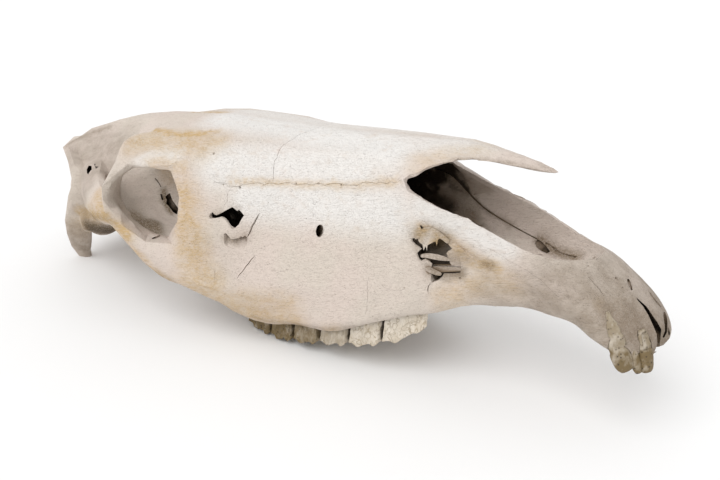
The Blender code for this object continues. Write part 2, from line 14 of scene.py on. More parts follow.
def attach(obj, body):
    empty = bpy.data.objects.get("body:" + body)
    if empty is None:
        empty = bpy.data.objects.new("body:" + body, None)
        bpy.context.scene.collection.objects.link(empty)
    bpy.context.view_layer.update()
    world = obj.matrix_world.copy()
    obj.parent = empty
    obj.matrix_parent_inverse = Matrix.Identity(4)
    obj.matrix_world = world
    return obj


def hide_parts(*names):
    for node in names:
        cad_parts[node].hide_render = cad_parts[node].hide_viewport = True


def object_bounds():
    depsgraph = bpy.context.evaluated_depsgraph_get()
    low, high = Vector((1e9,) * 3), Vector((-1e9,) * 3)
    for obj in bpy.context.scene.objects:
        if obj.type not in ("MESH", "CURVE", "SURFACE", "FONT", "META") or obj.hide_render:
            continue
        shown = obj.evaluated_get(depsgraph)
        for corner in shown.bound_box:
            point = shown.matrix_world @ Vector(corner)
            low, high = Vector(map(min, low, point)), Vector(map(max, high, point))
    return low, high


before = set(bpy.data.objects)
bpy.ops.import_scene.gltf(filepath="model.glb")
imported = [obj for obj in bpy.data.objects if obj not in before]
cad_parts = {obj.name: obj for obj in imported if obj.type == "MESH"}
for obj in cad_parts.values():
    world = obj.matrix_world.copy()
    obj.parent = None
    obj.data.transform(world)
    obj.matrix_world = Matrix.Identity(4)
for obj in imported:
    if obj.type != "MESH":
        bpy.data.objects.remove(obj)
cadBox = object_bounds()

mm = 0.001
rowShift = 78.6         # from the tables' zero to the frame's
root = "root"
boxGap = 0.02           # the pieces stay this far inside the solids' box
sides = {"right": 1, "left": -1}
mirrors = [np.array([1, side, 1]) for side in sides.values()]


# Lines, rings and solids

def curveThrough(rows, steps):
    # a Catmull-Rom curve through the rows
    rows = np.asarray(rows, float)
    ends = np.vstack([2 * rows[0] - rows[1], rows, 2 * rows[-1] - rows[-2]])
    t = np.arange(steps)[:, None] / steps
    found = []
    for i in range(len(rows) - 1):
        a, b, c, d = ends[i : i + 4]
        found.append(0.5 * (2 * b + (c - a) * t + (2 * a - 5 * b + 4 * c - d) * t * t
                            + (3 * b - a - 3 * c + d) * t ** 3))
    return np.vstack(found + [rows[-1:]])


def closedThrough(points, steps):
    points = np.asarray(points, float)
    around = np.vstack([points[-1], points, points[0], points[1]])
    return curveThrough(around, steps)[steps:-steps - 1]


def evenSteps(path, gap):
    # points along a path at even gaps
    path = np.asarray(path, float)
    run = np.concatenate([[0], np.cumsum(np.linalg.norm(np.diff(path, axis=0), axis=1))])
    count = max(2, int(run[-1] / gap) + 1)
    at = np.linspace(0, run[-1], count)
    return np.column_stack([np.interp(at, run, path[:, k]) for k in range(path.shape[1])])


def addObject(name, data):
    obj = bpy.data.objects.new(name, data)
    bpy.context.scene.collection.objects.link(obj)
    return obj


def meshObject(name, points, faces):
    mesh = bpy.data.meshes.new(name)
    mesh.from_pydata(np.asarray(points, float).tolist(), [], faces)
    bm = bmesh.new()
    bm.from_mesh(mesh)
    bmesh.ops.recalc_face_normals(bm, faces=bm.faces)
    bm.to_mesh(mesh)
    bm.free()
    return addObject(name, mesh)


def ringSolid(name, rings):
    # one ring bridged to the next, both ends closed; millimetres in, metres out
    rings = np.asarray(rings, float)
    count = rings.shape[1]
    faces = []
    for i in range(len(rings) - 1):
        for k in range(count):
            n = (k + 1) % count
            faces.append((i * count + k, i * count + n, (i + 1) * count + n, (i + 1) * count + k))
    faces.append(tuple(range(count)))
    faces.append(tuple(range((len(rings) - 1) * count, len(rings) * count)))
    return meshObject(name, rings.reshape(-1, 3) * mm, faces)


def loft(name, stations, along=6, around=4):
    # stations of (x, one half of the outline, from the top middle to the bottom middle)
    outlines = []
    for x, half in stations:
        half = np.asarray(half, float)
        whole = np.vstack([half, (half * [-1, 1])[-2:0:-1]])
        ring = closedThrough(whole, around)
        outlines.append(np.column_stack([np.full(len(ring), x), ring]).ravel())
    return ringSolid(name, curveThrough(outlines, along).reshape(-1, len(ring), 3))


def sweep(name, rows, along=6, around=40, side=1):
    # an oval section along a path: centre, half width, half thickness, way of the width
    flat = [(x, y, z, a, b, *Vector(way).normalized()) for x, y, z, a, b, way in rows]
    path = curveThrough(flat, along)
    rings = []
    for i, row in enumerate(path):
        tangent = Vector(path[min(i + 1, len(path) - 1)][:3] - path[max(i - 1, 0)][:3]).normalized()
        wide = Vector(row[5:8])
        wide = (wide - tangent * wide.dot(tangent)).normalized()
        thick = tangent.cross(wide)
        ring = []
        for k in range(around):
            angle = 2 * math.pi * k / around
            out = wide * (row[3] * math.cos(angle))
            spot = Vector(row[:3]) + out + thick * (row[4] * math.sin(angle))
            ring.append((spot.x, spot.y * side, spot.z))
        rings.append(ring)
    return ringSolid(name, rings)


def bothSides(name, rows):
    return [sweep(name + "Right", rows), sweep(name + "Left", rows, side=-1)]


def through(name, outline, reach):
    # an outline (x, z) drawn from one y to another
    return ringSolid(name, [[(x, y, z) for x, z in outline] for y in reach])


# Blender's modelling tools

def joined(name, objects):
    # one object of all the meshes, which are used up
    bm = bmesh.new()
    for obj in objects:
        bm.from_mesh(obj.data)
        bpy.data.objects.remove(obj, do_unlink=True)
    mesh = bpy.data.meshes.new(name)
    bm.to_mesh(mesh)
    bm.free()
    return addObject(name, mesh)


def settle(obj):
    # the modifiers become the mesh
    graph = bpy.context.evaluated_depsgraph_get()
    mesh = bpy.data.meshes.new_from_object(obj.evaluated_get(graph))
    obj.modifiers.clear()
    obj.data = mesh


def remesh(obj, cell):
    mod = obj.modifiers.new("fuse", "REMESH")
    mod.mode = "VOXEL"
    mod.voxel_size = cell * mm
    settle(obj)


def addWeights(obj, weights, levels=10):
    # a vertex group, with the weights rounded to a few levels
    group = obj.vertex_groups.new(name="weights")
    for level in range(levels + 1):
        chosen = np.nonzero(np.round(weights * levels) == level)[0].tolist()
        group.add(chosen, level / levels, "REPLACE")
    return group.name


def smooth(obj, factor, times, weights=None):
    mod = obj.modifiers.new("smooth", "SMOOTH")
    mod.factor = factor
    mod.iterations = times
    if weights is not None:
        mod.vertex_group = addWeights(obj, weights)
    settle(obj)
    obj.vertex_groups.clear()


def triangleCount(obj):
    return sum(len(face.vertices) - 2 for face in obj.data.polygons)


def thinOut(obj, triangles, weights):
    # weights from 0 to 1 say where the triangles stay
    mod = obj.modifiers.new("thinOut", "DECIMATE")
    mod.ratio = min(1.0, triangles / triangleCount(obj))
    mod.vertex_group = addWeights(obj, weights)
    mod.vertex_group_factor = 1.0
    settle(obj)
    obj.vertex_groups.clear()


def carve(obj, cutter):
    # the second solver is for cuts that the first leaves undone
    before = len(obj.data.vertices)
    for solver in ("MANIFOLD", "EXACT"):
        mod = obj.modifiers.new("carve", "BOOLEAN")
        mod.operation = "DIFFERENCE"
        mod.solver = solver
        mod.object = cutter
        settle(obj)
        if len(obj.data.vertices) != before:
            break
    else:
        print("   a cut did nothing:", cutter.name)
    bpy.data.objects.remove(cutter, do_unlink=True)


def keepLargest(obj):
    # deletes the chips that the cuts leave loose
    bm = bmesh.new()
    bm.from_mesh(obj.data)
    left, islands = set(bm.verts), []
    while left:
        edge, island = [left.pop()], set()
        while edge:
            vert = edge.pop()
            island.add(vert)
            for link in vert.link_edges:
                other = link.other_vert(vert)
                if other in left:
                    left.discard(other)
                    edge.append(other)
        islands.append(island)
    islands.sort(key=len)
    for island in islands[:-1]:
        bmesh.ops.delete(bm, geom=list(island), context="VERTS")
    bm.to_mesh(obj.data)
    bm.free()


def splitLong(obj, longest, rounds=5):
    # halves long edges, so that no stain or shade is drawn across a wide face
    bm = bmesh.new()
    bm.from_mesh(obj.data)
    for _ in range(rounds):
        edges = [edge for edge in bm.edges if edge.calc_length() > longest * mm]
        if not edges:
            break
        bmesh.ops.subdivide_edges(bm, edges=edges, cuts=1)
        bmesh.ops.triangulate(bm, faces=[face for face in bm.faces if len(face.verts) > 3])
    bm.to_mesh(obj.data)
    bm.free()


# Points of a mesh as arrays, in millimetres

def pointsOf(obj):
    found = np.empty(len(obj.data.vertices) * 3)
    obj.data.vertices.foreach_get("co", found)
    return found.reshape(-1, 3) / mm


def facingOf(obj):
    found = np.empty(len(obj.data.vertices) * 3)
    obj.data.vertices.foreach_get("normal", found)
    return found.reshape(-1, 3)


def putPoints(obj, points):
    obj.data.vertices.foreach_set("co", (points * mm).ravel())
    obj.data.update()


def surfaceOf(*objects):
    # their faces as one tree, for rays and nearest points
    points, faces = [], []
    for obj in objects:
        start = sum(len(part) for part in points)
        points.append(pointsOf(obj))
        faces += [tuple(start + v for v in face.vertices) for face in obj.data.polygons]
    return BVHTree.FromPolygons(np.vstack(points).tolist(), faces)


def softStep(value, low, high):
    t = np.clip((value - low) / (high - low), 0, 1)
    return t * t * (3 - 2 * t)


def fadeOut(away, reach):
    # full near a path and nothing at reach
    return 1 - softStep(away, reach * 0.55, reach)


def lumps(points, size, seed=0):
    # smooth noise from -1 to 1 with lumps of that size
    place = np.asarray(points) / size + 500.0
    cell = np.floor(place).astype(np.int64)
    share = place - cell
    share = share * share * (3 - 2 * share)
    total = np.zeros(len(place))
    for corner in range(8):
        step = np.array([corner & 1, corner >> 1 & 1, corner >> 2 & 1])
        weight = np.where(step == 1, share, 1 - share).prod(axis=1)
        n = (cell + step) @ np.array([73856093, 19349663, 83492791]) + seed * 7919
        n = (n ^ (n >> 13)) * 1274126177 & 0x7fffffff
        n = (n ^ (n >> 15)) * 668265263 & 0x7fffffff
        total += weight * ((n >> 8 & 0xffff) / 65535)
    return total * 2 - 1


def awayFrom(points, path, reach):
    # distance to a path of close points, at least reach where it is farther than that
    path = evenSteps(path, max(0.5, reach / 8))
    away = np.full(len(points), float(reach))
    near = np.nonzero(((points > path.min(0) - reach) & (points < path.max(0) + reach)).all(axis=1))[0]
    batches = len(near) * len(path) // 4000000 + 1      # to spare memory
    for part in np.array_split(near, batches):
        gap = np.linalg.norm(points[part, None, :] - path[None, :, :], axis=2).min(axis=1)
        away[part] = np.minimum(gap, reach)
    return away


def onBone(tree, path, gap):
    # a path laid on the surface, with the surface's own direction at each point
    laid, facing = [], []
    for point in evenSteps(path, gap):
        spot, normal, _, _ = tree.find_nearest(Vector(point))
        laid.append(spot)
        facing.append(normal)
    return np.array(laid), np.array(facing)


# The bones that make up the cranium

faceBone = {
    # x, top z, then (y, z) of the roof edge, upper cheek, cheek, crest, underside of the
    # crest, outer and inner gum edge, and the palate's z
    "stations": [
        (50, 170, (34, 153), (38, 138), (42, 112), (44, 86), (46, 70), (46, 53.5), (28, 60), 74),
        (20, 170, (34, 158), (44, 140), (50, 112), (55, 80), (57, 60), (55.5, 41), (31, 48), 62),
        (-10, 168, (36, 157), (48, 138), (55, 108), (61, 72), (62, 50), (60, 27), (34, 33), 51),
        (-40, 166, (39, 153), (53, 133), (60, 103), (67, 62), (67, 43), (61, 23), (35, 27), 44),
        (-68, 164, (45, 151), (58, 131), (66, 98), (76, 48), (73, 29), (63, 17), (35, 23), 40),
        (-95, 163, (54, 150), (67, 127), (75, 96), (87, 50), (83, 33), (65, 19), (34, 24), 40),
        (-118, 163, (62, 148), (76, 123), (83, 94), (93, 56), (91, 41), (66, 34), (32, 34), 46),
        (-138, 162, (70, 144), (81, 122), (87, 96), (96, 60), (94, 45), (72, 46), (34, 48), 56),
        (-150, 161, (74, 142), (79, 124), (80, 100), (92, 62), (90, 49), (68, 54), (34, 58), 64),
    ],
}
frontalBone = {
    # x, middle z, edge (y, z), thickness in the middle
    "stations": [
        (-95, 163, (56, 146), 30),
        (-125, 163, (70, 141), 26),
        (-150, 162, (80, 137), 22),
        (-172, 160, (86, 136), 20),
        (-188, 158, (87, 135), 20),
        (-203, 155, (80, 133), 20),
        (-218, 152, (62, 134), 22),
        (-232, 149, (40, 141), 24),
        (-250, 146, (22, 142), 26),
    ],
}
brainCase = {
    # x, top z, then (y, z) at the temporal line, upper wall, widest, lower wall and base
    # edge, and the base's z
    "stations": [
        (-128, 158, (40, 140), (44, 118), (42, 95), (40, 74), (26, 58), 56),
        (-160, 156, (38, 142), (42, 118), (41, 92), (38, 66), (22, 48), 46),
        (-195, 154, (36, 144), (41, 118), (43, 90), (37, 64), (20, 48), 45),
        (-228, 151, (26, 147), (42, 124), (47, 96), (38, 64), (16, 51), 48),
        (-258, 146.5, (16, 143), (42, 122), (54, 92), (48, 62), (18, 51), 48),
        (-288, 139.5, (10, 137.5), (38, 114), (57, 84), (56, 58), (24, 46), 42),
        (-312, 133, (9, 131), (36, 106), (55, 80), (56, 54), (26, 38), 34),
        (-332, 126, (12, 124), (34, 102), (42, 78), (46, 50), (24, 30), 27),
        (-346, 120, (18, 117), (28, 98), (36, 76), (38, 50), (20, 30), 27),
        (-358, 113, (18, 110), (22, 99), (24, 86), (22, 74), (12, 66), 64),
    ],
}
nasalBones = {
    # x, ridge z, half width, z of the lower edge, thickness at the ridge
    "stations": [
        (-30, 166, 36, 152, 16),
        (10, 169.5, 37, 153, 12),
        (37, 171, 37, 151, 11),
        (48, 171.3, 33.5, 157.5, 10),
        (60, 171, 28, 162.5, 9),
        (72, 170.4, 22, 165.2, 8.5),
        (84, 169.6, 16.5, 165.0, 8),
        (96, 168.3, 12.3, 163.8, 7.5),
        (108, 166.6, 8.6, 162.6, 6.3),
        (119, 164.6, 5.2, 161.5, 4.8),
        (126, 163, 2.8, 160.9, 3.2),
        (129, 162.2, 1.2, 161.0, 1.6),
    ],
}
muzzleBone = {
    # x, then (y, z) of the notch edge, upper side, lower side, gum edge and palate edge,
    # and the palate's z
    "stations": [
        (20, (40, 148), (48, 120), (53, 84), (54.5, 45.5), (30, 52), 64),
        (40, (40, 148), (45, 122), (48, 88), (49.5, 51.5), (27, 58), 70),
        (62, (39, 141), (41, 118), (43, 90), (40, 56), (26, 62), 73),
        (85, (37, 136), (39, 114), (38.5, 90), (32, 65.5), (23, 67), 75),
        (106, (34, 129), (36.5, 110), (35, 90), (28.5, 70), (20, 71), 78),
        (125, (30, 121), (34, 107), (33, 90), (27.5, 74), (19, 75), 80),
        (143, (21, 114.5), (31, 105), (33.5, 90), (28.5, 75), (19, 75), 79),
        (160, (12, 112), (26.5, 105), (34.5, 89), (31, 75), (20, 72), 75),
        (176, (9, 104), (24, 96.5), (35.5, 82), (34, 70), (20, 66), 70),
        (190, (8, 93), (20, 87.5), (32, 77), (32, 64), (16, 60), 63),
        (200, (7, 81.5), (15, 78), (26, 71), (27, 60), (12, 57), 60),
        (207, (6, 73), (11, 71), (18, 66), (19, 57), (9, 55), 57),
    ],
}
sweptBones = {
    # the right side's: centre x, y, z, half width, half thickness, way of the width
    "arch": [
        (-100, -70, 60, 22, 12, (0, 0, 1)),
        (-128, -84, 60, 20, 10, (0, 0, 1)),
        (-150, -91, 60, 17, 8, (0, -0.1, 1)),
        (-166, -94, 64, 13.5, 7.5, (0, -0.35, 1)),
        (-180, -96, 73, 11, 7, (0, -0.5, 1)),
        (-196, -97, 86, 11, 6.5, (0, -0.25, 1)),
        (-214, -95, 90, 12, 6.5, (0, 0, 1)),
        (-234, -88, 87, 13, 7, (0, 0, 1)),
        (-254, -78, 85, 14, 8, (0, 0, 1)),
        (-274, -63, 84, 15, 9, (0, 0, 1)),
        (-292, -48, 84, 15, 9, (0, 0, 1)),
    ],
    "archShelf": [
        (-302, -46, 88, 18, 8, (0, 0.3, 1)),
        (-285, -56, 91, 19, 8, (0, 0.45, 1)),
        (-266, -66, 92, 19, 7.5, (0, 0.5, 1)),
        (-246, -78, 92, 17, 7, (0, 0.45, 1)),
        (-228, -88, 93, 14, 6, (0, 0.2, 1)),
        (-212, -93, 95, 12, 5.5, (0.1, 0.1, 1)),
    ],
    "eyeRing": [
        (-200, -52, 141, 17, 9, (1, 0, 0)),
        (-199, -70, 136.5, 16, 7.5, (1, 0, -0.1)),
        (-201, -83, 129, 14.5, 6, (0.8, -0.5, 0)),
        (-206, -90, 117, 14, 5.2, (0.5, -0.8, 0)),
        (-209, -92, 105, 14, 5.2, (0.45, -0.85, 0)),
        (-207, -92.5, 94, 13.5, 5.4, (0.45, -0.85, 0)),
        (-200.5, -92, 83.5, 13, 5.4, (0.4, -0.9, 0.05)),
        (-189, -90, 75.5, 13, 5, (0.3, -0.93, 0.1)),
        (-174, -87, 71, 13.5, 4.8, (0.15, -0.95, 0.15)),
        (-158, -83, 70, 14, 5.5, (0, -1, 0.15)),
        (-140, -77, 71.5, 14, 7, (0, -1, 0.1)),
    ],
    "neckRidge": [
        (-361, -8, 108, 6, 6, (0, 0, 1)),
        (-357.5, -24, 105, 6, 6, (0, 0, 1)),
        (-338, -35, 98, 6, 6, (0, 0, 1)),
        (-320, -45, 94, 7, 6, (0, 0, 1)),
        (-308, -53, 84, 8, 6, (1, 0, 0)),
        (-310, -57, 70, 9, 6, (1, 0, 0)),
        (-316, -56, 54, 9, 6, (1, 0, 0)),
    ],
    "jugular": [
        (-310, -50, 70, 14, 8, (1, 0.2, 0)),
        (-315, -52.5, 54, 14, 7, (1, 0.3, 0)),
        (-321, -52, 38, 14, 5.5, (1, 0.35, 0)),
        (-328, -48, 21, 12.5, 4.8, (1, 0.4, 0)),
        (-334, -43.5, 9, 10, 4.4, (1, 0.4, 0)),
        (-333, -41, 1, 7.5, 4.2, (1, 0.4, 0)),
        (-330, -40, -5, 4, 3.4, (1, 0.4, 0)),
    ],
    "condyle": [
        (-334, -12, 31, 9, 8, (0, 0.4, 1)),
        (-345, -20, 34, 12, 10, (0, 0.3, 1)),
        (-348, -29, 44, 13, 10, (0, 0.4, 1)),
        (-340, -34, 54, 10, 8, (0, 0.2, 1)),
    ],
    "jawSeat": [
        (-234, -60, 70, 8, 7, (1, 0, 0)),
        (-236, -75, 72, 9, 7, (1, 0, 0)),
        (-233, -88, 77, 8, 7, (1, 0, 0)),
    ],
    "jawStop": [
        (-256, -70, 90, 9, 9, (0, 1, 0)),
        (-260, -69, 76, 9, 6.5, (0, 1, 0)),
        (-261, -67, 64, 7, 5, (0, 1, 0)),
    ],
    "earBlock": [
        (-258, -56, 64, 12, 11, (1, 0, 0)),
        (-274, -56, 56, 14, 12, (1, 0, 0)),
        (-290, -54, 51, 14, 11, (1, 0, 0)),
        (-304, -52, 54, 12, 10, (1, 0, 0)),
    ],
    "wingPlate": [
        (-112, -24, 62, 16, 4.5, (0, -0.1, 1)),
        (-130, -24, 54, 19, 4, (0, -0.1, 1)),
        (-150, -23, 48, 17, 3.6, (0.1, -0.1, 1)),
        (-170, -22, 46, 13, 3.6, (0.2, -0.1, 1)),
        (-192, -23, 51, 16, 5, (0.1, -0.1, 1)),
        (-215, -25, 51, 16, 6, (0, -0.1, 1)),
        (-238, -24, 50, 13, 6, (0, 0, 1)),
        (-258, -25, 48, 11, 8, (0, 0, 1)),
        (-276, -30, 48, 10, 9, (0, 0, 1)),
    ],
    "toothBulb": [
        (-88, -50, 46, 22, 16, (0, 0, 1)),
        (-106, -50, 46, 21, 15, (0, 0, 1)),
        (-122, -48, 54, 17, 13, (0, 0, 1)),
        (-132, -46, 66, 12, 10, (0, 0, 1)),
    ],
}
baseBar = [
    (-150, 0, 64, 12, 12, (0, 1, 0)),
    (-190, 0, 56, 15, 9, (0, 1, 0)),
    (-230, 0, 53, 15, 8, (0, 1, 0)),
    (-275, 0, 49, 16, 8, (0, 1, 0)),
    (-315, 0, 38, 18, 8, (0, 1, 0)),
    (-337, 0, 30, 16, 5, (0, 1, 0)),
]

noseHollow = {
    # x, top z, then (y, z) of the roof, wall, low wall and floor edge, and the floor's z
    "stations": [
        (-92, 150, (34, 142), (46, 116), (22, 84), (16, 66), 64),
        (-70, 152, (37, 144), (53, 116), (26, 84), (20, 62), 58),
        (-40, 155, (34, 147), (54, 116), (30, 84), (22, 60), 56),
        (-5, 158, (32, 150), (49, 118), (30, 84), (22, 64), 61),
        (25, 160, (31, 151), (43, 120), (35, 86), (22, 74), 72),
        (45, 163, (31.5, 150), (39, 122), (36, 94), (20, 82), 79),
        (70, 166, (34, 146), (36, 119), (32, 94), (18, 84.5), 82),
        (95, 168, (33, 140), (33, 113), (27, 95), (14, 87.5), 86),
        (118, 170, (30, 134), (28.5, 110), (22, 97), (11, 91), 90),
        (136, 172, (26, 130), (24, 110), (16, 100), (9, 96), 96),
        (150, 174, (22, 130), (17, 110), (11, 103), (6, 100), 100),
        (161, 176, (12, 132), (8, 112), (6, 108), (3, 106), 106),
    ],
}
vaultHollow = {
    # x, half width, lowest z, edge z, top z of the palate's vault
    "stations": [
        (-128, 20, -20, 38, 36),
        (-100, 29, -20, 26, 33),
        (-60, 31, -10, 26, 35),
        (-20, 31, 0, 33, 42),
        (20, 28, 14, 46, 56),
        (50, 24, 24, 58, 68),
    ],
}
middleHollows = {
    "throat": [
        (-166, 0, 26, 15, 24, (0, 1, 0)),
        (-142, 0, 42, 18, 21, (0, 1, 0)),
        (-114, 0, 60, 19, 16, (0, 1, 0)),
        (-86, 0, 76, 17, 15, (0, 1, 0)),
    ],
    "spineHole": [
        (-376, 0, 50, 17, 15, (0, 1, 0)),
        (-345, 0, 52, 17, 16, (0, 1, 0)),
        (-322, 0, 64, 24, 22, (0, 1, 0)),
        (-295, 0, 86, 40, 32, (0, 1, 0)),
        (-260, 0, 96, 40, 34, (0, 1, 0)),
        (-225, 0, 102, 34, 32, (0, 1, 0)),
        (-205, 0, 104, 22, 20, (0, 1, 0)),
    ],
    "sinus": [
        (-124, -62, 112, 10, 8, (0, 0, 1)),
        (-112, -62, 98, 20, 9, (0, 0, 1)),
        (-94, -58, 92, 24, 9, (0, 0, 1)),
        (-72, -53, 92, 22, 8, (0, 0, 1)),
        (-54, -50, 94, 16, 7, (0, 0, 1)),
    ],
}
pairedHollows = {
    "eyeSocket": [
        (-162, -120, 107, 30, 27, (1, 0, 0)),
        (-164, -98, 106, 29.5, 27, (1, 0, 0)),
        (-167, -84, 105.5, 29, 26.5, (1, 0, 0)),
        (-172, -68, 104, 27, 26, (1, 0, 0)),
        (-178, -52, 99, 21, 20, (1, 0, 0)),
        (-182, -44, 95, 12, 12, (1, 0, 0)),
    ],
    "palateSlot": [
        (104, -14, 60, 9, 3.2, (1, 0, 0)),
        (108, -16, 80, 9, 3.4, (1, 0, 0)),
        (112, -18, 104, 8, 3.4, (1, 0, 0)),
    ],
}
noseRim = {
    # the opening's rim seen from the side, as (x, z); the left one is lower
    "top": 190,
    "right": [(35, 157), (34.5, 151), (37, 147), (42, 143.5), (54, 139), (70, 136), (80, 134),
              (89, 132), (98, 128), (111, 123), (122, 118), (131, 116), (142, 113.5), (153, 112),
              (163, 114)],
    "left": [(23, 157), (22.5, 152), (25, 148), (32, 143.7), (42, 140.2), (59, 134.6), (80, 129.2),
             (97, 126.2), (112, 121.5), (124, 117.3), (136, 114.4), (150, 112.6), (163, 114)],
}
snout = {
    "twist": 0.12,      # how much the left half stands forward of the right
    "from": 150,        # the x at which the twist starts
    "over": 30,         # the length over which it grows
}


# Each solid's function adds the points between the measured ones, as shares of the half width
# and of the drop from the middle to the edge.

def faceSolid():
    stations = []
    for x, top, roof, upper, cheek, crest, under, outer, inner, palate in faceBone["stations"]:
        half = [(0, top), (roof[0] * 0.55, top - (top - roof[1]) * 0.28), roof, upper, cheek,
                crest, under, outer, inner, (inner[0] * 0.6, palate - 1), (0, palate)]
        stations.append((x, half))
    return loft("face", stations)


def frontalSolid():
    stations = []
    for x, top, edge, thick in frontalBone["stations"]:
        half = [(0, top), (edge[0] * 0.5, top - (top - edge[1]) * 0.22),
                (edge[0] * 0.85, edge[1] + (top - edge[1]) * 0.28), edge,
                (edge[0] * 0.93, edge[1] - 6), (edge[0] * 0.55, top - thick - 2), (0, top - thick)]
        stations.append((x, half))
    return loft("frontal", stations)


def brainSolid():
    return loft("brainCase", [(x, [(0, top), *walls, (0, low)])
                              for x, top, *walls, low in brainCase["stations"]])


def nasalSolid():
    stations = []
    for x, ridge, half, edge, thick in nasalBones["stations"]:
        stations.append((x, [(0, ridge), (half * 0.55, ridge - (ridge - edge) * 0.28), (half, edge),
                             (half * 0.8, edge - thick * 0.12), (0, ridge - thick)]))
    return loft("nasals", stations)


def muzzleSolid():
    stations = []
    for x, notch, upper, lower, gum, palateEdge, palate in muzzleBone["stations"]:
        stations.append((x, [(0, notch[1] + 0.5), (notch[0] * 0.6, notch[1] + 0.5), notch, upper,
                             lower, gum, palateEdge, (0, palate)]))
    return loft("muzzle", stations)


def noseSolid():
    return loft("nose", [(x, [(0, top), *walls, (0, floor)])
                         for x, top, *walls, floor in noseHollow["stations"]])


def vaultSolid():
    return loft("vault", [(x, [(0, top), (half * 0.7, top - 1.5), (half, edge), (half, low), (0, low)])
                          for x, half, low, edge, top in vaultHollow["stations"]])


def rimCutter(outline, side):
    # clears everything above the rim of the nose opening on one side
    column = outline + [(outline[-1][0], noseRim["top"]), (outline[0][0], noseRim["top"])]
    return through("rim", column, (-1.0 * side, 80.0 * side))


def fuseBones(cell):
    bones = [faceSolid(), frontalSolid(), brainSolid(), muzzleSolid()]
    for name, rows in sweptBones.items():
        bones += bothSides(name, rows)
    bones.append(sweep("baseBar", baseBar))
    skull = joined("cranium", bones)
    remesh(skull, cell)
    return skull


def fuseHollows(cell):
    hollows = [noseSolid(), vaultSolid(), rimCutter(noseRim["right"], -1), rimCutter(noseRim["left"], 1)]
    for name, rows in middleHollows.items():
        hollows.append(sweep(name, rows))
    for name, rows in pairedHollows.items():
        hollows += bothSides(name, rows)
    hollow = joined("hollow", hollows)
    remesh(hollow, cell)
    return hollow


def twistSnout(obj):
    points = pointsOf(obj)
    share = np.clip((points[:, 0] - snout["from"]) / snout["over"], 0, 1)
    points[:, 0] += snout["twist"] * points[:, 1] * share
    putPoints(obj, points)


# The teeth: sizes shared by the sockets and the teeth

cheekTeeth = {
    "gap": 0.7,             # between neighbours
    "rootDepth": 20.0,      # above the gum line
    "rootLean": 5.0,        # how far the roots lean to the middle
    "rootShrink": 0.94,     # the root's end for a worn end of 1
    "socketGap": 0.6,
    "innerGap": 1.6,
    "socketEnds": (-0.15, 1.1),         # shares of the tooth's height at which the socket ends
    # name, x at the front and the back, outer y at both, inner y at both
    "rows": [
        ("P2", 58.5, 27, -41, -54, -36, -31),
        ("P3", 27, 0, -54.5, -58, -31, -32),
        ("P4", 0, -26, -58.5, -60, -32, -33),
        ("M1", -26, -51, -60.5, -61, -33, -34),
        ("M2", -51, -75, -61, -60, -34, -34),
        ("M3", -75, -105, -60, -53, -34, -37),
    ],
    # heights of the worn ends and of the gum line along the row
    "biteX": (-110, -75, -62, -38, -15, 12, 38, 61),
    "biteZ": (0, 0, 1.2, 6, 12, 18.5, 27, 43),
    "gumX": (-110, -75, -40, -10, 20, 45, 61),
    "gumZ": (20, 18, 23, 29, 44, 55, 60),
}
incisors = {
    # centre x, y, z, half width and half depth from the root's tip to the worn end
    "incisorRightThird": [
        (177.5, -27.8, 88, 0.5, 1.0),
        (180, -28.4, 82, 1.4, 2.4),
        (183, -29, 75, 3.1, 3.6),
        (186.4, -29.4, 69, 5.2, 4.4),
        (187.8, -29.4, 66.6, 5.9, 4.2),
        (189.2, -29.4, 64.8, 6.9, 4.8),
        (191.5, -29.1, 60.5, 7.2, 4.9),
        (194, -28.6, 56, 6.6, 4.5),
        (195.3, -28.3, 53.6, 5.0, 3.5),
    ],
    "incisorRightSecond": [
        (197.2, -17.6, 77, 2.2, 2.0),
        (198.2, -18, 74.5, 3.8, 3.2),
        (199.2, -18.3, 71, 4.5, 4.0),
        (200.6, -18.8, 66.6, 5.0, 4.2),
        (201.2, -19, 65.2, 4.7, 3.9),
        (201.9, -19.2, 63.6, 5.3, 4.4),
        (203.2, -19.6, 58.5, 5.4, 4.4),
        (204.5, -20, 53.5, 4.8, 3.9),
        (205.1, -20, 51.3, 3.4, 2.8),
    ],
    # a slender lobe that stands beside the corner tooth
    "lobe": [
        (194.3, -24.4, 70, 1.2, 1.2),
        (196.5, -24.9, 65, 2.4, 2.0),
        (198.7, -25.1, 59.5, 3.3, 2.6),
        (200.5, -25.1, 54.5, 3.4, 2.6),
        (201.5, -25.0, 51.5, 2.2, 1.8),
    ],
    "middle": 150,          # x of the point that the row of incisors curves around
    "socketGap": 0.45,
    # how much wider, deeper, farther forward and lower a socket's mouth is than the tooth's end
    "mouth": ((3, 2, 0, 0), (4, 3, 3, 9)),
    "neckRow": 3,           # the bared root starts above this row
    "rootReach": 3.5,       # how far the root's outer face is drawn out to the bone's
    "rootProud": 0.25,      # and how far it stands out there
    "rootFacing": 0.6,
    "roughness": (0.14, 2.2),           # height and size of its lumps
    "stain": {"incisorRightThird": 0.9, "incisorRightSecond": 0.95},
    "rootPaler": 0.3,       # how much less brown the roots are, above the second of these heights
    "palerZ": (65, 67.5),
    "lost": [               # empty sockets: depth x, y, z and mouth x, y, z
        (192, -8, 72, 208, -9, 52),
        (196, 15, 68, 209, 16, 50),
        (176, 26, 74, 195, 30, 54),
    ],
    # an empty socket's half width and half thickness from its depth to its mouth
    "lostSizes": ((1.8, 1.8), (3.4, 2.4), (4.2, 2.8)),
}


def toothLevels(x):
    bite = np.interp(x, cheekTeeth["biteX"], cheekTeeth["biteZ"])
    gum = np.interp(x, cheekTeeth["gumX"], cheekTeeth["gumZ"])
    return bite, gum


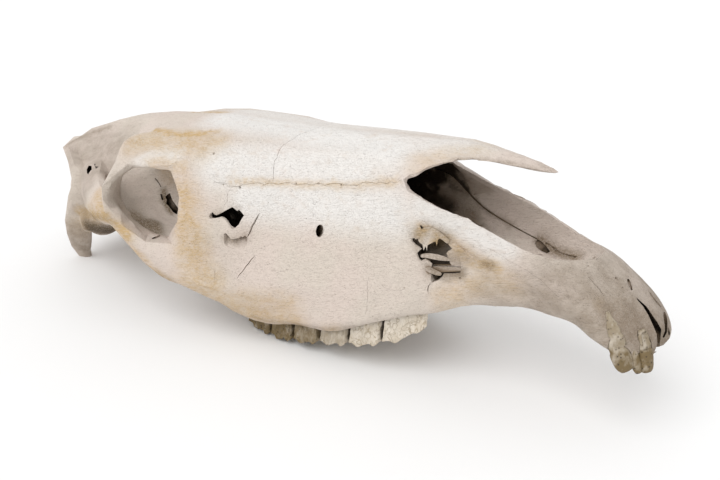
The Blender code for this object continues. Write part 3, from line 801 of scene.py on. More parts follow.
def socketRing(outline, side, share):
    ring = []
    for x, y in outline:
        bite, gum = toothLevels(x)
        ring.append((x, (y + cheekTeeth["rootLean"] * share) * side,
                     bite + (gum + cheekTeeth["rootDepth"] - bite) * share))
    return ring


def socketTrench(side):
    rows, gap = cheekTeeth["rows"], cheekTeeth["socketGap"]
    xs = [rows[0][1] + gap] + [row[2] for row in rows]
    xs[-1] -= gap
    outer = [rows[0][3]] + [row[4] for row in rows]
    inner = [rows[0][5]] + [row[6] for row in rows]
    outline = [(x, y - gap) for x, y in zip(xs, outer)]
    outline += [(x, y + cheekTeeth["innerGap"]) for x, y in zip(xs[::-1], inner[::-1])]
    return ringSolid("trench", [socketRing(outline, side, share) for share in cheekTeeth["socketEnds"]])


def incisorRows(name, grow=0.0):
    rows = []
    for x, y, z, wide, deep in incisors[name]:
        across = Vector((-y, x - incisors["middle"], 0)).normalized()
        rows.append((x, y, z, wide + grow, deep + grow, across))
    return rows


def incisorSocket(name):
    rows = incisorRows(name, incisors["socketGap"])
    x, y, z, wide, deep, across = rows.pop()
    for wider, deeper, ahead, lower in incisors["mouth"]:
        rows.append((x + ahead, y, z - lower, wide + wider, deep + deeper, across))
    return sweep("socket", rows, along=3, around=24)


def emptySocket(row):
    deep, mouth = np.array(row[:3], float), np.array(row[3:], float)
    places = (deep, (deep + mouth) / 2, mouth)
    rows = [(*place, *size, (0, 1, 0)) for place, size in zip(places, incisors["lostSizes"])]
    return sweep("empty", rows, along=4, around=16)


toothShape = {
    "around": 84,
    "levels": 40,
    "crowding": 1.4,        # above 1 sets more levels near the worn end
    "corner": 0.5,          # below 1 squares the corners of a section
    "outerShift": 1.0,      # the faces' y from the table's lines
    "innerShift": -0.3,
    # place from the front to the back, width and height of the outer ridges
    "ridges": ((0.05, 0.07, 1.9), (0.42, 0.07, 1.9), (0.545, 0.035, -4.2), (0.95, 0.05, 1.2)),
    "valley": 1.5,          # depth between the ridges
    "ridgeBase": 0.6,       # share of that depth that a ridge fills besides its own height
    "foldSharp": 0.6,       # how soon the folds fade towards the inner face
    "innerLobe": (0.40, 0.16, 2.0),
    "cusps": ((0.17, 0.12), (0.62, 0.15)),
    "scallop": 3.4,         # how far the worn end rises between the cusps
    "scallopShares": (0.55, 0.45),      # of it all across, and more towards the outer face
    # shares front to back and outer to inner, sizes as shares, and depth of the worn face's lakes
    "lakes": ((0.28, 0.5), (0.70, 0.5)),
    "lakeSize": (0.11, 0.16),
    "lakeDepth": 2.2,
    "wornDepth": 1.6,
    "wornRings": (0.9, 0.75, 0.6, 0.45, 0.3, 0.18, 0.08, 0.03),     # how much smaller each ring is
    "rootEnd": 0.9,         # share of the socket's depth that the root fills
    "roughness": ((0.42, 2.6), (0.2, 1.1)),         # height and size of its lumps
    # how brown each tooth is, and what the worn end has beyond that
    "stain": {"P2": 0.0, "P3": 0.08, "P4": 0.5, "M1": 0.8, "M2": 0.95, "M3": 1.0},
    "wornStain": 0.25,
    "wornShare": 0.12,      # share of the height over which it fades
    "netBelow": 0.3,        # teeth paler than this show a net of cracks
}


def hump(value, place, width):
    return np.exp(-((value - place) / width) ** 2)


def cheekTooth(row, side):
    # smaller rings close the worn end, and the others run from there up to the root's end
    name, front, back, outFront, outBack, inFront, inBack = row
    shape, gap = toothShape, cheekTeeth["gap"]
    angle = 2 * math.pi * (np.arange(shape["around"]) + 0.5) / shape["around"]
    sideways = np.sign(np.cos(angle)) * np.abs(np.cos(angle)) ** shape["corner"]
    along = np.sign(np.sin(angle)) * np.abs(np.sin(angle)) ** shape["corner"]
    s, w = (1 - along) / 2, (1 - sideways) / 2          # shares front to back and outer to inner

    def ringAt(s, w, t, cut=1.0):
        x = front - gap * 0.5 - s * (front - back - gap)
        outer = outFront + (outBack - outFront) * s + shape["outerShift"]
        inner = inFront + (inBack - inFront) * s + shape["innerShift"]
        push = np.full(len(s), -shape["valley"])
        for place, wide, high in shape["ridges"]:
            push += (high + shape["valley"] * shape["ridgeBase"]) * hump(s, place, wide)
        y = outer + (inner - outer) * w - push * np.clip(1 - 2 * w, 0, 1) ** shape["foldSharp"]
        place, wide, high = shape["innerLobe"]
        y = y + high * (hump(s, place, wide) - 0.5) * np.clip(2 * w - 1, 0, 1)
        bite, gum = toothLevels(x)
        top = gum + cheekTeeth["rootDepth"] * shape["rootEnd"]
        cusps = sum(hump(s, place, wide) for place, wide in shape["cusps"])
        across, outside = shape["scallopShares"]
        lift = shape["scallop"] * (1 - np.clip(cusps, 0, 1)) * (across + outside * (1 - w))
        long, wide = shape["lakeSize"]
        lake = sum(hump(s, a, long) * hump(w, b, wide) for a, b in shape["lakes"])
        lift = lift * cut + (1 - cut) * (shape["wornDepth"] + shape["lakeDepth"] * lake)
        z = bite + lift * (1 - t) ** 3 + (top - bite) * t
        shrink = 1 - (1 - cheekTeeth["rootShrink"]) * t
        centre = np.array([(front + back) / 2, (outFront + outBack + inFront + inBack) / 4])
        x = centre[0] + (x - centre[0]) * shrink
        y = centre[1] + (y - centre[1]) * shrink + cheekTeeth["rootLean"] * t
        return np.column_stack([x, y, z])

    rings = []
    for less in shape["wornRings"]:
        inS, inW = 0.5 + (s - 0.5) * (1 - less), 0.5 + (w - 0.5) * (1 - less)
        rings.append(ringAt(inS, inW, 0.0, max(0.0, 1 - less * 4)))
    for level in range(shape["levels"]):
        rings.append(ringAt(s, w, (level / (shape["levels"] - 1)) ** shape["crowding"]))
    points = np.array(rings)
    flat = points.reshape(-1, 3)
    seed = len(name) + int(abs(front))
    for number, (height, size) in enumerate(shape["roughness"]):
        for axis in range(3):
            flat[:, axis] += height * lumps(flat + axis * 31.0, size, seed + number * 5 + axis)
    points = flat.reshape(points.shape) * [1, side, 1]
    return ringSolid("tooth" + ("Right" if side > 0 else "Left") + name, points)


def incisorTooth(name, tree):
    # the root's outer face is drawn out to the bone's own surface
    along, around = 8, 40
    rows = incisorRows(name)
    tooth = sweep(name, rows, along, around)
    points = pointsOf(tooth)
    centres = curveThrough([row[:3] for row in rows], along).repeat(around, axis=0)
    out = Vector((rows[0][0] - incisors["middle"], rows[0][1], 0)).normalized()
    for i in np.nonzero(points[:, 2] > rows[incisors["neckRow"]][2])[0]:
        way = Vector(points[i] - centres[i])
        if way.length < 0.1 or way.normalized().dot(out) < incisors["rootFacing"]:
            continue
        reach = way.length + incisors["rootReach"]
        spot = tree.ray_cast(Vector(centres[i]), way.normalized(), reach)[0]
        if spot is not None:
            points[i] = np.array(spot + way.normalized() * incisors["rootProud"])
    height, size = incisors["roughness"]
    points += np.column_stack([height * lumps(points + k * 29.0, size, k) for k in range(3)])
    putPoints(tooth, points)
    return tooth


# The surface of the cranium

cranium = {
    # mm of a voxel where the bones are fused, the hollows are fused, and both are one
    "boneCell": 1.9,
    "hollowCell": 1.6,
    "fineCell": 1.35,
    "softening": {"factor": 0.5, "times": 3},
    "triangles": 146000,                # before the sockets, breaks and cracks are cut
    "seenWay": (-0.7, 0.5),             # y and z of the way that the photograph looks from
    "seenFrom": (-0.2, 0.3),
    "hiddenWeight": 0.25,               # share of the triangles' density on the hidden side
    "longest": 7.0,                     # no edge stays longer
    "unevenness": ((0.35, 16), (0.16, 5)),      # height and size of the lumps
    "sharpAbove": 38,                   # degrees between faces
}
reliefReach = 2.6       # a relief ends this many widths from its path
# height, width, way it faces, path; all on both sides
relief = {
    "temporalLine": (1.5, 3.5, (-0.3, -0.5, 0.7), [(-203, -83, 137), (-207, -68, 144), (-222, -48, 145),
                                                   (-240, -30, 145), (-258, -15, 145), (-285, -6, 138)]),
    "temporalHollow": (-2.2, 14, (-0.4, -0.9, 0.3), [(-222, -50, 128), (-245, -44, 122), (-268, -42, 116)]),
    "faceCrest": (2.0, 5.5, (0, -1, 0.2), [(-146, -92, 60), (-118, -93, 54), (-92, -86, 50),
                                           (-72, -78, 50)]),
    "overCrest": (-1.6, 12, (0, -1, 0.2), [(-120, -86, 78), (-92, -80, 74), (-66, -71, 76)]),
    "underCrest": (-1.4, 6, (0, -1, -0.3), [(-105, -80, 36), (-80, -72, 34), (-50, -67, 38)]),
    "canine": (-0.7, 13, (0, -1, 0), [(66, -42, 78), (92, -38, 82), (118, -34, 84)]),
    "jointSeat": (-1.8, 6, (0, 0, -1), [(-236, -68, 74), (-236, -84, 76)]),
    "napeHollow": (-2.0, 9, (-1, -0.1, 0.2), [(-350, -14, 96), (-346, -22, 82)]),
    "scoop": (-2.6, 4.6, (0, -1, 0.2), [(70, -41, 117), (80, -40, 110), (92, -38, 105.5),
                                        (101, -37, 102.5)]),
    "canalDip": (-0.5, 5, (0, -1, 0.2), [(-30, -54, 101), (-20, -54, 103)]),
    "overCanal": (0.3, 5, (0, -1, 0.3), [(-36, -54, 112), (-22, -53, 113)]),
    "sideRoot": (0.5, 7, (0, -1, 0.3), [(-26, -54, 118), (10, -50, 100), (40, -47, 84)]),
}
# wall thickness left, reach, way it faces, path; the walls where the bone broke
thinWalls = {
    "cheek": (1.5, 15, (0.1, -1, 0.2), [(-102, -74, 104), (-90, -73, 103)]),
    "muzzle": (1.5, 24, (0, -1, 0.1), [(54, -44, 106), (76, -40, 100)]),
}
# an inner face: how it faces the wall's way, and the ray that looks for the outer face
wallSearch = {"facing": -0.35, "lift": 0.4, "reach": 22}
# what is smoothed further, before the hollows are cut (coarse) and after (fine): radius, path;
# on both sides
softPaths = {
    "coarse": {"times": 90, "paths": [(34, [(-268, -70, 100), (-267, -70, 100)]),
                                      (24, [(-246, -84, 92), (-238, -86, 80)])]},
    "fine": {"times": 24, "paths": [(16, [(-203, -90, 84), (-202, -90, 84)]),
                                    (13, [(-168, -86, 77), (-158, -84, 77), (-150, -86, 82)]),
                                    (11, [(-148, -86, 130), (-150, -80, 128)]),
                                    (7, [(36, -38, 152), (36, -38, 151)]),
                                    (13, [(-66, -75, 50), (-52, -71, 56), (-38, -67, 63)]),
                                    (5, [(42, -39, 141), (60, -37, 135), (80, -36, 129.5), (97, -34, 126.5),
                                         (112, -32, 121.8), (124, -29, 117.5), (136, -26, 114.5)])]},
}


def softenPaths(skull, stage):
    points = pointsOf(skull)
    weights = np.zeros(len(points))
    for radius, path in softPaths[stage]["paths"]:
        for flip in mirrors:
            weights = np.maximum(weights, fadeOut(awayFrom(points, np.array(path) * flip, radius), radius))
    smooth(skull, cranium["softening"]["factor"], softPaths[stage]["times"], weights)


def raiseRelief(points, facing):
    push = np.zeros(len(points))
    for height, width, way, path in relief.values():
        for flip in mirrors:
            away = awayFrom(points, curveThrough(np.array(path) * flip, 6), width * reliefReach)
            toward = facing @ (np.array(Vector(way).normalized()) * flip)
            rise = height * np.exp(-(away / width) ** 2) * softStep(toward, 0.0, 0.5)
            push += rise * (away < width * (reliefReach - 0.01))
    for number, (height, size) in enumerate(cranium["unevenness"]):
        push += height * lumps(points, size, number)
    return push


def thinnedWalls(points, facing, tree):
    # draws the inner face of a wall towards its outer face
    moved = points.copy()
    for leave, reach, way, path in thinWalls.values():
        away = awayFrom(points, path, reach)
        toward = facing @ np.array(Vector(way).normalized())
        for i in np.nonzero((away < reach * 0.99) & (toward < wallSearch["facing"]))[0]:
            back = Vector(-facing[i])
            start = Vector(points[i]) + back * wallSearch["lift"]
            spot, _, _, far = tree.ray_cast(start, back, wallSearch["reach"])
            if spot is not None:
                less = max(0.0, far + wallSearch["lift"] - leave)
                moved[i] += np.array(back) * less * fadeOut(away[i], reach)
    return moved


def shapeCranium():
    skull = fuseBones(cranium["boneCell"])
    softenPaths(skull, "coarse")
    carve(skull, fuseHollows(cranium["hollowCell"]))
    skull = joined("cranium", [skull, nasalSolid()])
    remesh(skull, cranium["fineCell"])
    smooth(skull, **cranium["softening"])
    softenPaths(skull, "fine")
    points, facing = pointsOf(skull), facingOf(skull)
    putPoints(skull, points + facing * raiseRelief(points, facing)[:, None])
    points, facing = pointsOf(skull), facingOf(skull)
    putPoints(skull, thinnedWalls(points, facing, surfaceOf(skull)))
    y, z = cranium["seenWay"]
    seen = softStep(facing[:, 1] * y + facing[:, 2] * z, *cranium["seenFrom"])
    hidden = cranium["hiddenWeight"]
    thinOut(skull, cranium["triangles"], hidden + (1 - hidden) * seen)
    twistSnout(skull)
    return skull


# Breaks, cracks and seams in the bone

breaks = {
    # outlines (x, z) seen from the side, and the y from which to which they are cut
    "cheekHole": ((-100, -58), [
        (-111.4, 102), (-110.7, 104.4), (-108.8, 106.2), (-107.3, 104.5), (-105.2, 104.1), (-102.6, 105.6),
        (-97.7, 109), (-93.8, 111.5), (-91.8, 110.3), (-89.9, 109), (-88.5, 110.1), (-86.8, 108.8),
        (-84.2, 106.2), (-86.1, 102.6), (-87.5, 99), (-89.7, 96.7), (-91.9, 94.7), (-94.6, 97),
        (-97.1, 100.2), (-99.1, 102), (-102, 103.1), (-104.3, 102.2), (-107.3, 101.3), (-110.4, 100.9)]),
    "noseHole": ((-60, -31), [
        (52.6, 121.5), (55.5, 119.2), (58.6, 119.4), (61.5, 118.9), (63.2, 117.4), (66, 115.4),
        (69.5, 113.3), (72.2, 111.6), (75, 109), (78.6, 106.6), (81.2, 103.5), (82.4, 99.5), (82.8, 95.2),
        (82.2, 92.3), (76.5, 90.5), (70.8, 89.3), (69.5, 86.6), (66.8, 83.3), (62.5, 80.6),
        (61.5, 83), (61.5, 86.4), (59.5, 89.1), (60.5, 91.6), (62, 92.6), (62.2, 95), (60.3, 96.5),
        (57.3, 97.8), (54.5, 95.7), (52.6, 97.6), (51.3, 100.7), (53.1, 103.3), (54.2, 104.3),
        (51.9, 105.8), (50, 106.5), (47.4, 108.6), (46.9, 110.4), (48.7, 111.5), (50.2, 110.7),
        (52.7, 112.3), (53, 114.6), (55.8, 117.3), (55, 118.6), (52.6, 120.8)]),
}
dent = {
    # the cheek's lower break: its plate is bent inwards, deepest along its ragged upper edge
    "deep": 6.5,
    "rim": 0.4,             # how much less deep it is all around
    "over": 6,              # how far the cutter stands out of the bone
    "outline": [
        (-98.2, 90.8), (-97, 91.5), (-95.4, 90.3), (-93.7, 88.7), (-92.6, 87.4), (-89.6, 87.8),
        (-86.4, 88.8), (-85.4, 90.5), (-83.5, 90), (-82.1, 91.3), (-80.5, 90.4), (-79.7, 87.9),
        (-80.4, 84.9), (-81.9, 81.2), (-83.9, 77.5), (-86.2, 73.7), (-88.9, 76), (-90.4, 78.1),
        (-90.3, 80.2), (-93.4, 80.9), (-95.9, 81.2), (-97.5, 83.3)],
    # the cheek's surface there: a point (x, y, z) and how y grows with x and z
    "point": (-88, -77, 82),
    "slope": (0.31, 0.236),
    "low": 74,              # the plate isn't bent in below this z, and is fully bent at high
    "high": 89,
}
# width, depth, sideways wobble, path
cracks = {
    "cheekCrack": (1.0, 3.0, 0.25, [(-72.6, -64, 109.3), (-75.2, -66, 104), (-77.9, -69, 96.7),
                                    (-80.4, -71, 89.5)]),
    "lowCheekCrack": (0.7, 1.4, 0.25, [(-72.5, -72, 78), (-77.6, -75, 70.2), (-81.7, -78, 63.2),
                                       (-84.7, -80, 57.4)]),
    "rearCheekCrack": (0.45, 0.8, 0.2, [(-102.3, -85, 64), (-101, -86, 58.5), (-100.3, -87, 53)]),
    "noseCrack": (0.7, 2.0, 0.2, [(62.3, -42, 81), (60.8, -43, 77.7), (60.4, -43, 74.5), (61.4, -43, 71.6)]),
    "faceSeam": (0.42, 0.7, 1.0, [(-112, -71, 129), (-104, -70, 127), (-96, -68, 126), (-86, -63, 129),
                                  (-77, -60, 131), (-65, -57, 131), (-56, -55, 133), (-46, -53, 134),
                                  (-36, -51, 135), (-28, -50, 137), (-10, -48, 139), (9, -44, 143),
                                  (22, -42, 145), (33, -40, 147)]),
    "tearSeam": (0.4, 0.7, 0.6, [(-96, -68, 126), (-99, -70, 122), (-98, -71, 116), (-101, -73, 110)]),
    "cheekSeam": (0.35, 0.6, 0.3, [(19, -56, 76), (20, -57, 61), (18, -56, 47)]),
    "muzzleSeam": (0.3, 0.5, 0.5, [(92, -38, 116), (107, -36, 112), (116, -35, 108), (126, -34, 104),
                                   (136, -33, 99), (150, -33, 91)]),
    "snoutSeam": (0.6, 0.9, 0.4, [(161, -23, 106), (168, -24, 102), (175, -24, 96)]),
    "temporalSeam": (0.4, 0.6, 0.6, [(-214, -88, 96), (-224, -88, 92), (-238, -84, 84)]),
    "nasalSeam": (0.5, 0.9, 0.25, [(-62, 0, 166), (-20, 0, 168), (30, 0, 171), (80, 0, 170), (118, 0, 165)]),
    "frontSeam": (0.5, 0.8, 0.9, [(-65, -57, 132), (-70, -40, 150), (-66, -20, 162), (-62, 0, 165),
                                  (-66, 20, 162), (-70, 40, 150), (-65, 57, 132)]),
    "crownSeam": (0.5, 0.8, 1.0, [(-212, -42, 151), (-206, -20, 155), (-203, 0, 156), (-206, 20, 155),
                                  (-212, 42, 151)]),
    "browSeam": (0.4, 0.7, 0.7, [(-70, 0, 165), (-110, 0, 163), (-150, 0, 161), (-203, 0, 155)]),
}
crackCut = {
    "gap": 1.6,         # between the points of a crack
    "over": 1.2,        # how far the cutter stands out of the bone
    "narrow": 0.9,      # its half width there, for 1 in the table
    "endShare": 0.25,   # how much of the width is left at its ends
    "endSteps": 3,      # points over which it narrows
    "waves": 3.2,       # length of its sideways steps
    "steps": 1.6,       # their size for a wobble of 1
}
# the canal in each cheek, as a swept oval like the bones
cheekCanal = [
    (-15, -66, 107, 5.2, 3.0, (0.2, 0, 1)),
    (-24, -55, 103.5, 4.6, 2.6, (0.2, 0, 1)),
    (-34, -50, 99, 3.6, 2.4, (0.1, 0, 1)),
    (-46, -47, 96, 2.4, 2.0, (0, 0, 1)),
]
# half width at each point, depth, path in pixels of the 720 x 480 photograph
photoGrooves = {
    "farLowSlit": ((0.3, 0.6, 0.3), 4, [(668, 328), (668.8, 331.5), (669.2, 335)]),
    "snoutSlot": ((0.5, 1.0, 0.4), 3, [(628, 279), (629.5, 284), (632, 290)]),
    "snoutEdge": ((0.3, 0.45, 0.3), 1.2, [(650, 293), (655, 300), (661, 307)]),
    "eyeSeam": ((0.25, 0.35, 0.25), 1.2, [(155, 178), (159, 183), (161, 187)]),
    "eyePit": ((0.5, 0.9, 0.6), 3, [(161, 194), (162, 197), (162.7, 200)]),
    "eyeSlit": ((0.4, 0.9, 1.0, 0.5), 4, [(152, 238.5), (156.5, 237.3), (161, 234.8), (164, 232.3)]),
    "farGroove": ((0.7, 1.1, 0.9, 0.5), 1.4, [(546, 243), (554, 249), (562, 254), (576, 257)]),
    "farSeam": ((0.35, 0.5, 0.5, 0.5, 0.4), 1.6, [(433, 167.5), (450, 174), (463, 186), (483, 207),
                                                  (513, 226), (537, 239)]),
    "breakNick": ((0.2, 0.7, 0.5), 3, [(420, 225.5), (422, 228), (424.5, 231.5)]),
}
photoCut = {
    "over": 3,          # how far a groove's cutter stands out of the bone
    "flare": 1.1,       # its width there, for 1 at the bone
    "shoulder": 0.6,    # share of the depth down to which it stays wide
    "jump": 14,         # a groove stops where the bone behind it is this much farther off
    "holeOver": 5,
}
# depth and outline in pixels of the photograph
photoHoles = {
    "lipSlit": (15, [(636.5, 297.5), (637.5, 300), (643.3, 306.7), (648.3, 315), (653.3, 325.8),
                     (656.7, 334.2), (657.5, 343.3), (654.6, 351.7), (659.2, 350), (660.4, 338.3),
                     (661.3, 329.2), (657.5, 322.5), (651.7, 314.2), (646.7, 306.7), (639.2, 300)]),
    "farSlit": (9, [(663.8, 311.7), (663.4, 315), (663.9, 320), (664.8, 326), (665, 331), (662.6, 337),
                    (664, 338), (667, 332), (667.6, 324), (666.8, 317), (665.2, 312.5)]),
    "templeHole": (18, [(88.7, 165.6), (91.5, 166), (91.9, 171), (91.2, 177.5), (89.5, 176.3), (87, 173),
                        (86.7, 169.5)]),
    "eyeHole": (9, [(165.5, 197), (168, 194), (172, 192.5), (176.5, 195), (179, 206), (177, 214.5),
                    (173, 212), (169, 206.5), (166, 203.5), (166.8, 200)]),
    "farHole": (5, [(535, 243), (537.5, 239.5), (541.5, 241.5), (546, 246), (550, 251.5), (547, 253.5),
                    (541.5, 251), (536.5, 247.5)]),
}
# the muzzle's wall at its break: its y in the middle of the tables and how y grows with x
muzzleWall = {"y": -52.2, "slope": 0.155}
# bony plates that show inside that break: depth behind the wall's face at the front and the
# back, and outline in pixels
innerPlates = {
    "membrane": (1.0, 2.6, [(418, 239), (421, 231), (425, 227), (433, 228), (441, 233), (449, 240),
                            (447, 243.5), (443, 240.5), (439.5, 238.5), (437.5, 241), (436.8, 246),
                            (435.6, 241.5), (431, 243.5), (427.5, 245.5), (427, 251), (425.5, 246),
                            (423.6, 250.5), (422.4, 244.5), (420, 243)]),
    "upperPlate": (1.2, 8.5, [(421, 254.5), (428, 253.3), (438, 254.5), (449, 258.3), (450.5, 261),
                              (438, 260.2), (427, 258), (421.5, 257.5)]),
    "brownPlate": (3.6, 8.0, [(427, 257), (438, 259.5), (450, 261), (451.5, 265.5), (432, 264.6),
                              (428, 262)]),
    "palePatch": (1.3, 5.0, [(446.5, 253), (452, 249), (459, 247), (466, 253), (467, 265), (452, 265.4),
                             (449.5, 260)]),
    "lowerPlate": (1.8, 9.0, [(430, 266.3), (447, 266.8), (467, 267.8), (466, 275), (446, 274),
                              (433, 271.5)]),
    "flap": (0.2, 2.2, [(426, 268), (430, 267), (435, 269.5), (441.5, 273), (440, 275.8), (433, 274.2),
                        (427, 271.5)]),
}
pits = {
    # x, y, z and radius of the small holes that the photograph shows
    "spots": [(-90, -66, 126, 1.3), (-28, -50, 137, 1.1), (-46, -53, 134, 1.3), (-83, -28, 159, 0.9),
              (-10, -48, 139, 1.0), (-103, -70, 127, 0.9), (-113, -22, 161, 0.8), (82, -39, 88, 1.0),
              (155, 8, 106, 1.0), (160, -17, 110, 0.8), (176, -9, 103, 1.2), (-118, -62, 146, 1.1),
              (44, -46, 74, 0.7), (-66, -62, 118, 0.6), (-20, -56, 92, 0.6), (60, -40, 68, 0.8)],
    # finer ones, scattered over the side that the photograph shows
    "scattered": 150,
    "radii": (0.3, 0.55),
    "apart": 6,
    "rearmost": -240,
    "widest": 90,
    "seed": 7,
    # a pit's rings, as (height, radius), and the depth of its point, all for a radius of 1
    "rings": ((1, 1.25), (-0.5, 0.8)),
    "point": 1.4,
}


def wander(path, gap, wobble, seed):
    # small sideways steps along a path
    laid = evenSteps(curveThrough(path, 5), gap)
    shake = np.column_stack([lumps(laid + k * 37.0, crackCut["waves"], seed + k) for k in range(3)])
    ends = np.minimum(np.arange(len(laid)), np.arange(len(laid))[::-1])
    return laid + shake * wobble * crackCut["steps"] * np.clip(ends / 2, 0, 1)[:, None]


def groove(name, tree, width, depth, wobble, path, seed):
    # a thin wedge along a path on the surface, to be cut out
    gap, over = crackCut["gap"], crackCut["over"]
    laid, facing = onBone(tree, wander(path, gap, wobble, seed), gap)
    rings = []
    for i in range(len(laid)):
        ahead = Vector(laid[min(i + 1, len(laid) - 1)] - laid[max(i - 1, 0)]).normalized()
        out = Vector(facing[max(0, i - 2) : i + 3].mean(axis=0)).normalized()
        side = out.cross(ahead).normalized()
        taper = min(1.0, crackCut["endShare"] + min(i, len(laid) - 1 - i) / crackCut["endSteps"])
        middle = Vector(laid[i])
        rings.append([middle + out * over + side * width * taper, middle + out * over - side * width * taper,
                      middle - out * depth * taper])
    return ringSolid(name, [[tuple(p) for p in ring] for ring in rings])


def pitCutter(spots, count=10):
    # one mesh of small pointed cups, each with count corners around
    faces, points = [], []
    for spot, out, radius in spots:
        out = Vector(out).normalized()
        side = out.orthogonal().normalized()
        other = out.cross(side)
        base = len(points)
        for lift, share in pits["rings"]:
            for k in range(count):
                angle = 2 * math.pi * k / count
                way = side * math.cos(angle) + other * math.sin(angle)
                points.append(tuple((Vector(spot) + out * (lift * radius) + way * radius * share) * mm))
        points.append(tuple((Vector(spot) - out * radius * pits["point"]) * mm))
        for k in range(count):
            n = (k + 1) % count
            faces.append((base + k, base + n, base + count + n, base + count + k))
            faces.append((base + count + k, base + count + n, base + 2 * count))
        faces.append(tuple(base + k for k in range(count)))
    return meshObject("pits", points, faces)


def cutPits(skull, tree, bone):
    chosen = [(*tree.find_nearest(Vector(spot[:3]))[:2], spot[3]) for spot in pits["spots"]]
    draw = random.Random(pits["seed"])
    points, facing = bone
    while len(chosen) < len(pits["spots"]) + pits["scattered"]:
        i = draw.randrange(len(points))
        spot, out = Vector(points[i]), Vector(facing[i])
        radius = draw.uniform(*pits["radii"])
        if out.y > 0.2 or out.z < -0.3 or spot.x < pits["rearmost"] or abs(spot.y) > pits["widest"]:
            continue
        if min((spot - other[0]).length for other in chosen) > pits["apart"]:
            chosen.append((spot, out, radius))
    carve(skull, pitCutter(chosen))


def dentCutter():
    x0, y0, z0 = dent["point"]
    alongX, alongZ = dent["slope"]
    outer, inner = [], []
    for x, z in dent["outline"]:
        surface = y0 + alongX * (x - x0) + alongZ * (z - z0)
        share = float(softStep(z, dent["low"], dent["high"]))
        outer.append((x, surface - dent["over"], z))
        inner.append((x, surface + (dent["deep"] * share - dent["rim"]), z))
    return ringSolid("dent", [outer, inner])


def photoSpot(tree, u, v):
    # where the camera sees the bone at a pixel of the photograph, in the tables' millimetres
    start, way = photoRay(u, v, rowShift)
    spot, _, _, far = tree.ray_cast(start, way)
    return spot, way, far, start


def photoGroove(name, tree, widths, depth, path):
    # a wedge cut along the view, as wide as given at each point of the path
    over, flare, shoulder = photoCut["over"], photoCut["flare"], photoCut["shoulder"]
    wides = np.interp(np.linspace(0, 1, len(path)), np.linspace(0, 1, len(widths)), widths)
    spots = []
    for u, v, wide in curveThrough(np.column_stack([path, wides]), 4):
        spot, way, _, _ = photoSpot(tree, u, v)
        if spot is not None and (not spots or (spot - spots[-1][0]).length < photoCut["jump"]):
            spots.append((spot, way, wide))
    rings = []
    for i, (spot, way, wide) in enumerate(spots):
        ahead = spots[min(i + 1, len(spots) - 1)][0] - spots[max(i - 1, 0)][0]
        side = way.cross(ahead).normalized()
        rings.append([spot - way * over + side * wide * flare, spot - way * over - side * wide * flare,
                      spot - side * wide + way * depth * shoulder, spot + way * depth,
                      spot + side * wide + way * depth * shoulder])
    return ringSolid(name, [[tuple(p) for p in ring] for ring in rings])


def photoHole(name, tree, depth, outline):
    # an outline cut along the view, from just before the bone to its depth
    rays = [photoSpot(tree, u, v) for u, v in outline]
    far = float(np.median([ray[2] for ray in rays if ray[0] is not None]))
    return ringSolid(name, [[tuple(start + way * (far + reach)) for _, way, _, start in rays]
                            for reach in (-photoCut["holeOver"], depth)])


def addPlates(skull):
    # thin plates of bone behind the muzzle's break, standing on the inside of its wall
    pieces = [skull]
    for name, (near, deep, outline) in innerPlates.items():
        rings = []
        for behind in (near, deep):
            ring = []
            for u, v in closedThrough(outline, 2):
                start, way = photoRay(u, v, rowShift)
                slope, offset = muzzleWall["slope"], muzzleWall["y"] + behind
                share = (slope * start.x + offset - start.y) / (way.y - slope * way.x)
                ring.append(tuple(start + way * share))
            rings.append(ring)
        pieces.append(ringSolid(name, rings))
    return joined("cranium", pieces)


def breakBone(skull):
    seen = surfaceOf(skull)
    for hole in bothSides("cheekCanal", cheekCanal):
        carve(skull, hole)
    for name, (widths, depth, path) in photoGrooves.items():
        carve(skull, photoGroove(name, seen, widths, depth, path))
    for name, (depth, outline) in photoHoles.items():
        carve(skull, photoHole(name, seen, depth, outline))
    carve(skull, dentCutter())
    for name, (reach, outline) in breaks.items():
        carve(skull, through(name, outline, reach))
    tree = surfaceOf(skull)
    bone = pointsOf(skull), facingOf(skull)
    for seed, (name, (width, depth, wobble, path)) in enumerate(cracks.items()):
        carve(skull, groove(name, tree, width * crackCut["narrow"], depth, wobble, path, seed))
    cutPits(skull, tree, bone)


def openSockets(skull):
    for side in sides.values():
        carve(skull, socketTrench(side))
    for name in incisors["stain"]:
        carve(skull, incisorSocket(name))
    for row in incisors["lost"]:
        carve(skull, emptySocket(row))


def levelBelow(skull):
    # takes off what would reach below the surface that the skull rests on
    corners = [(-400, -200), (300, -200), (300, 200), (-400, 200)]
    carve(skull, ringSolid("ground", [[(x, y, z) for x, y in corners] for z in (-60, 0)]))


def moveToFrame(obj):
    points = pointsOf(obj)
    points[:, 0] += rowShift
    low, high = np.array(cadBox[0]) / mm, np.array(cadBox[1]) / mm
    putPoints(obj, np.clip(points, low + boxGap, high - boxGap))


# Camera, light and floor

photo = {"width": 720, "height": 480}
camera = {
    "place": (362.7, -449.3, 303.6),
    "turn": 34.63,
    "height": 22.54,
    "roll": 0.35,
    "lens": 37.29,
    "sensor": 36,
}
light = {
    "worldStrength": 0.87,
    "keyWay": (-0.10, -0.62, 0.78),     # from the skull to the key light
    "keySoftness": 50,                  # degrees
    "keyStrength": 1.3,
    "floor": (0.88, 0.88, 0.88, 1),
    "floorHalf": 30,                    # metres from its middle to its edge
    "floorRough": 0.9,
}


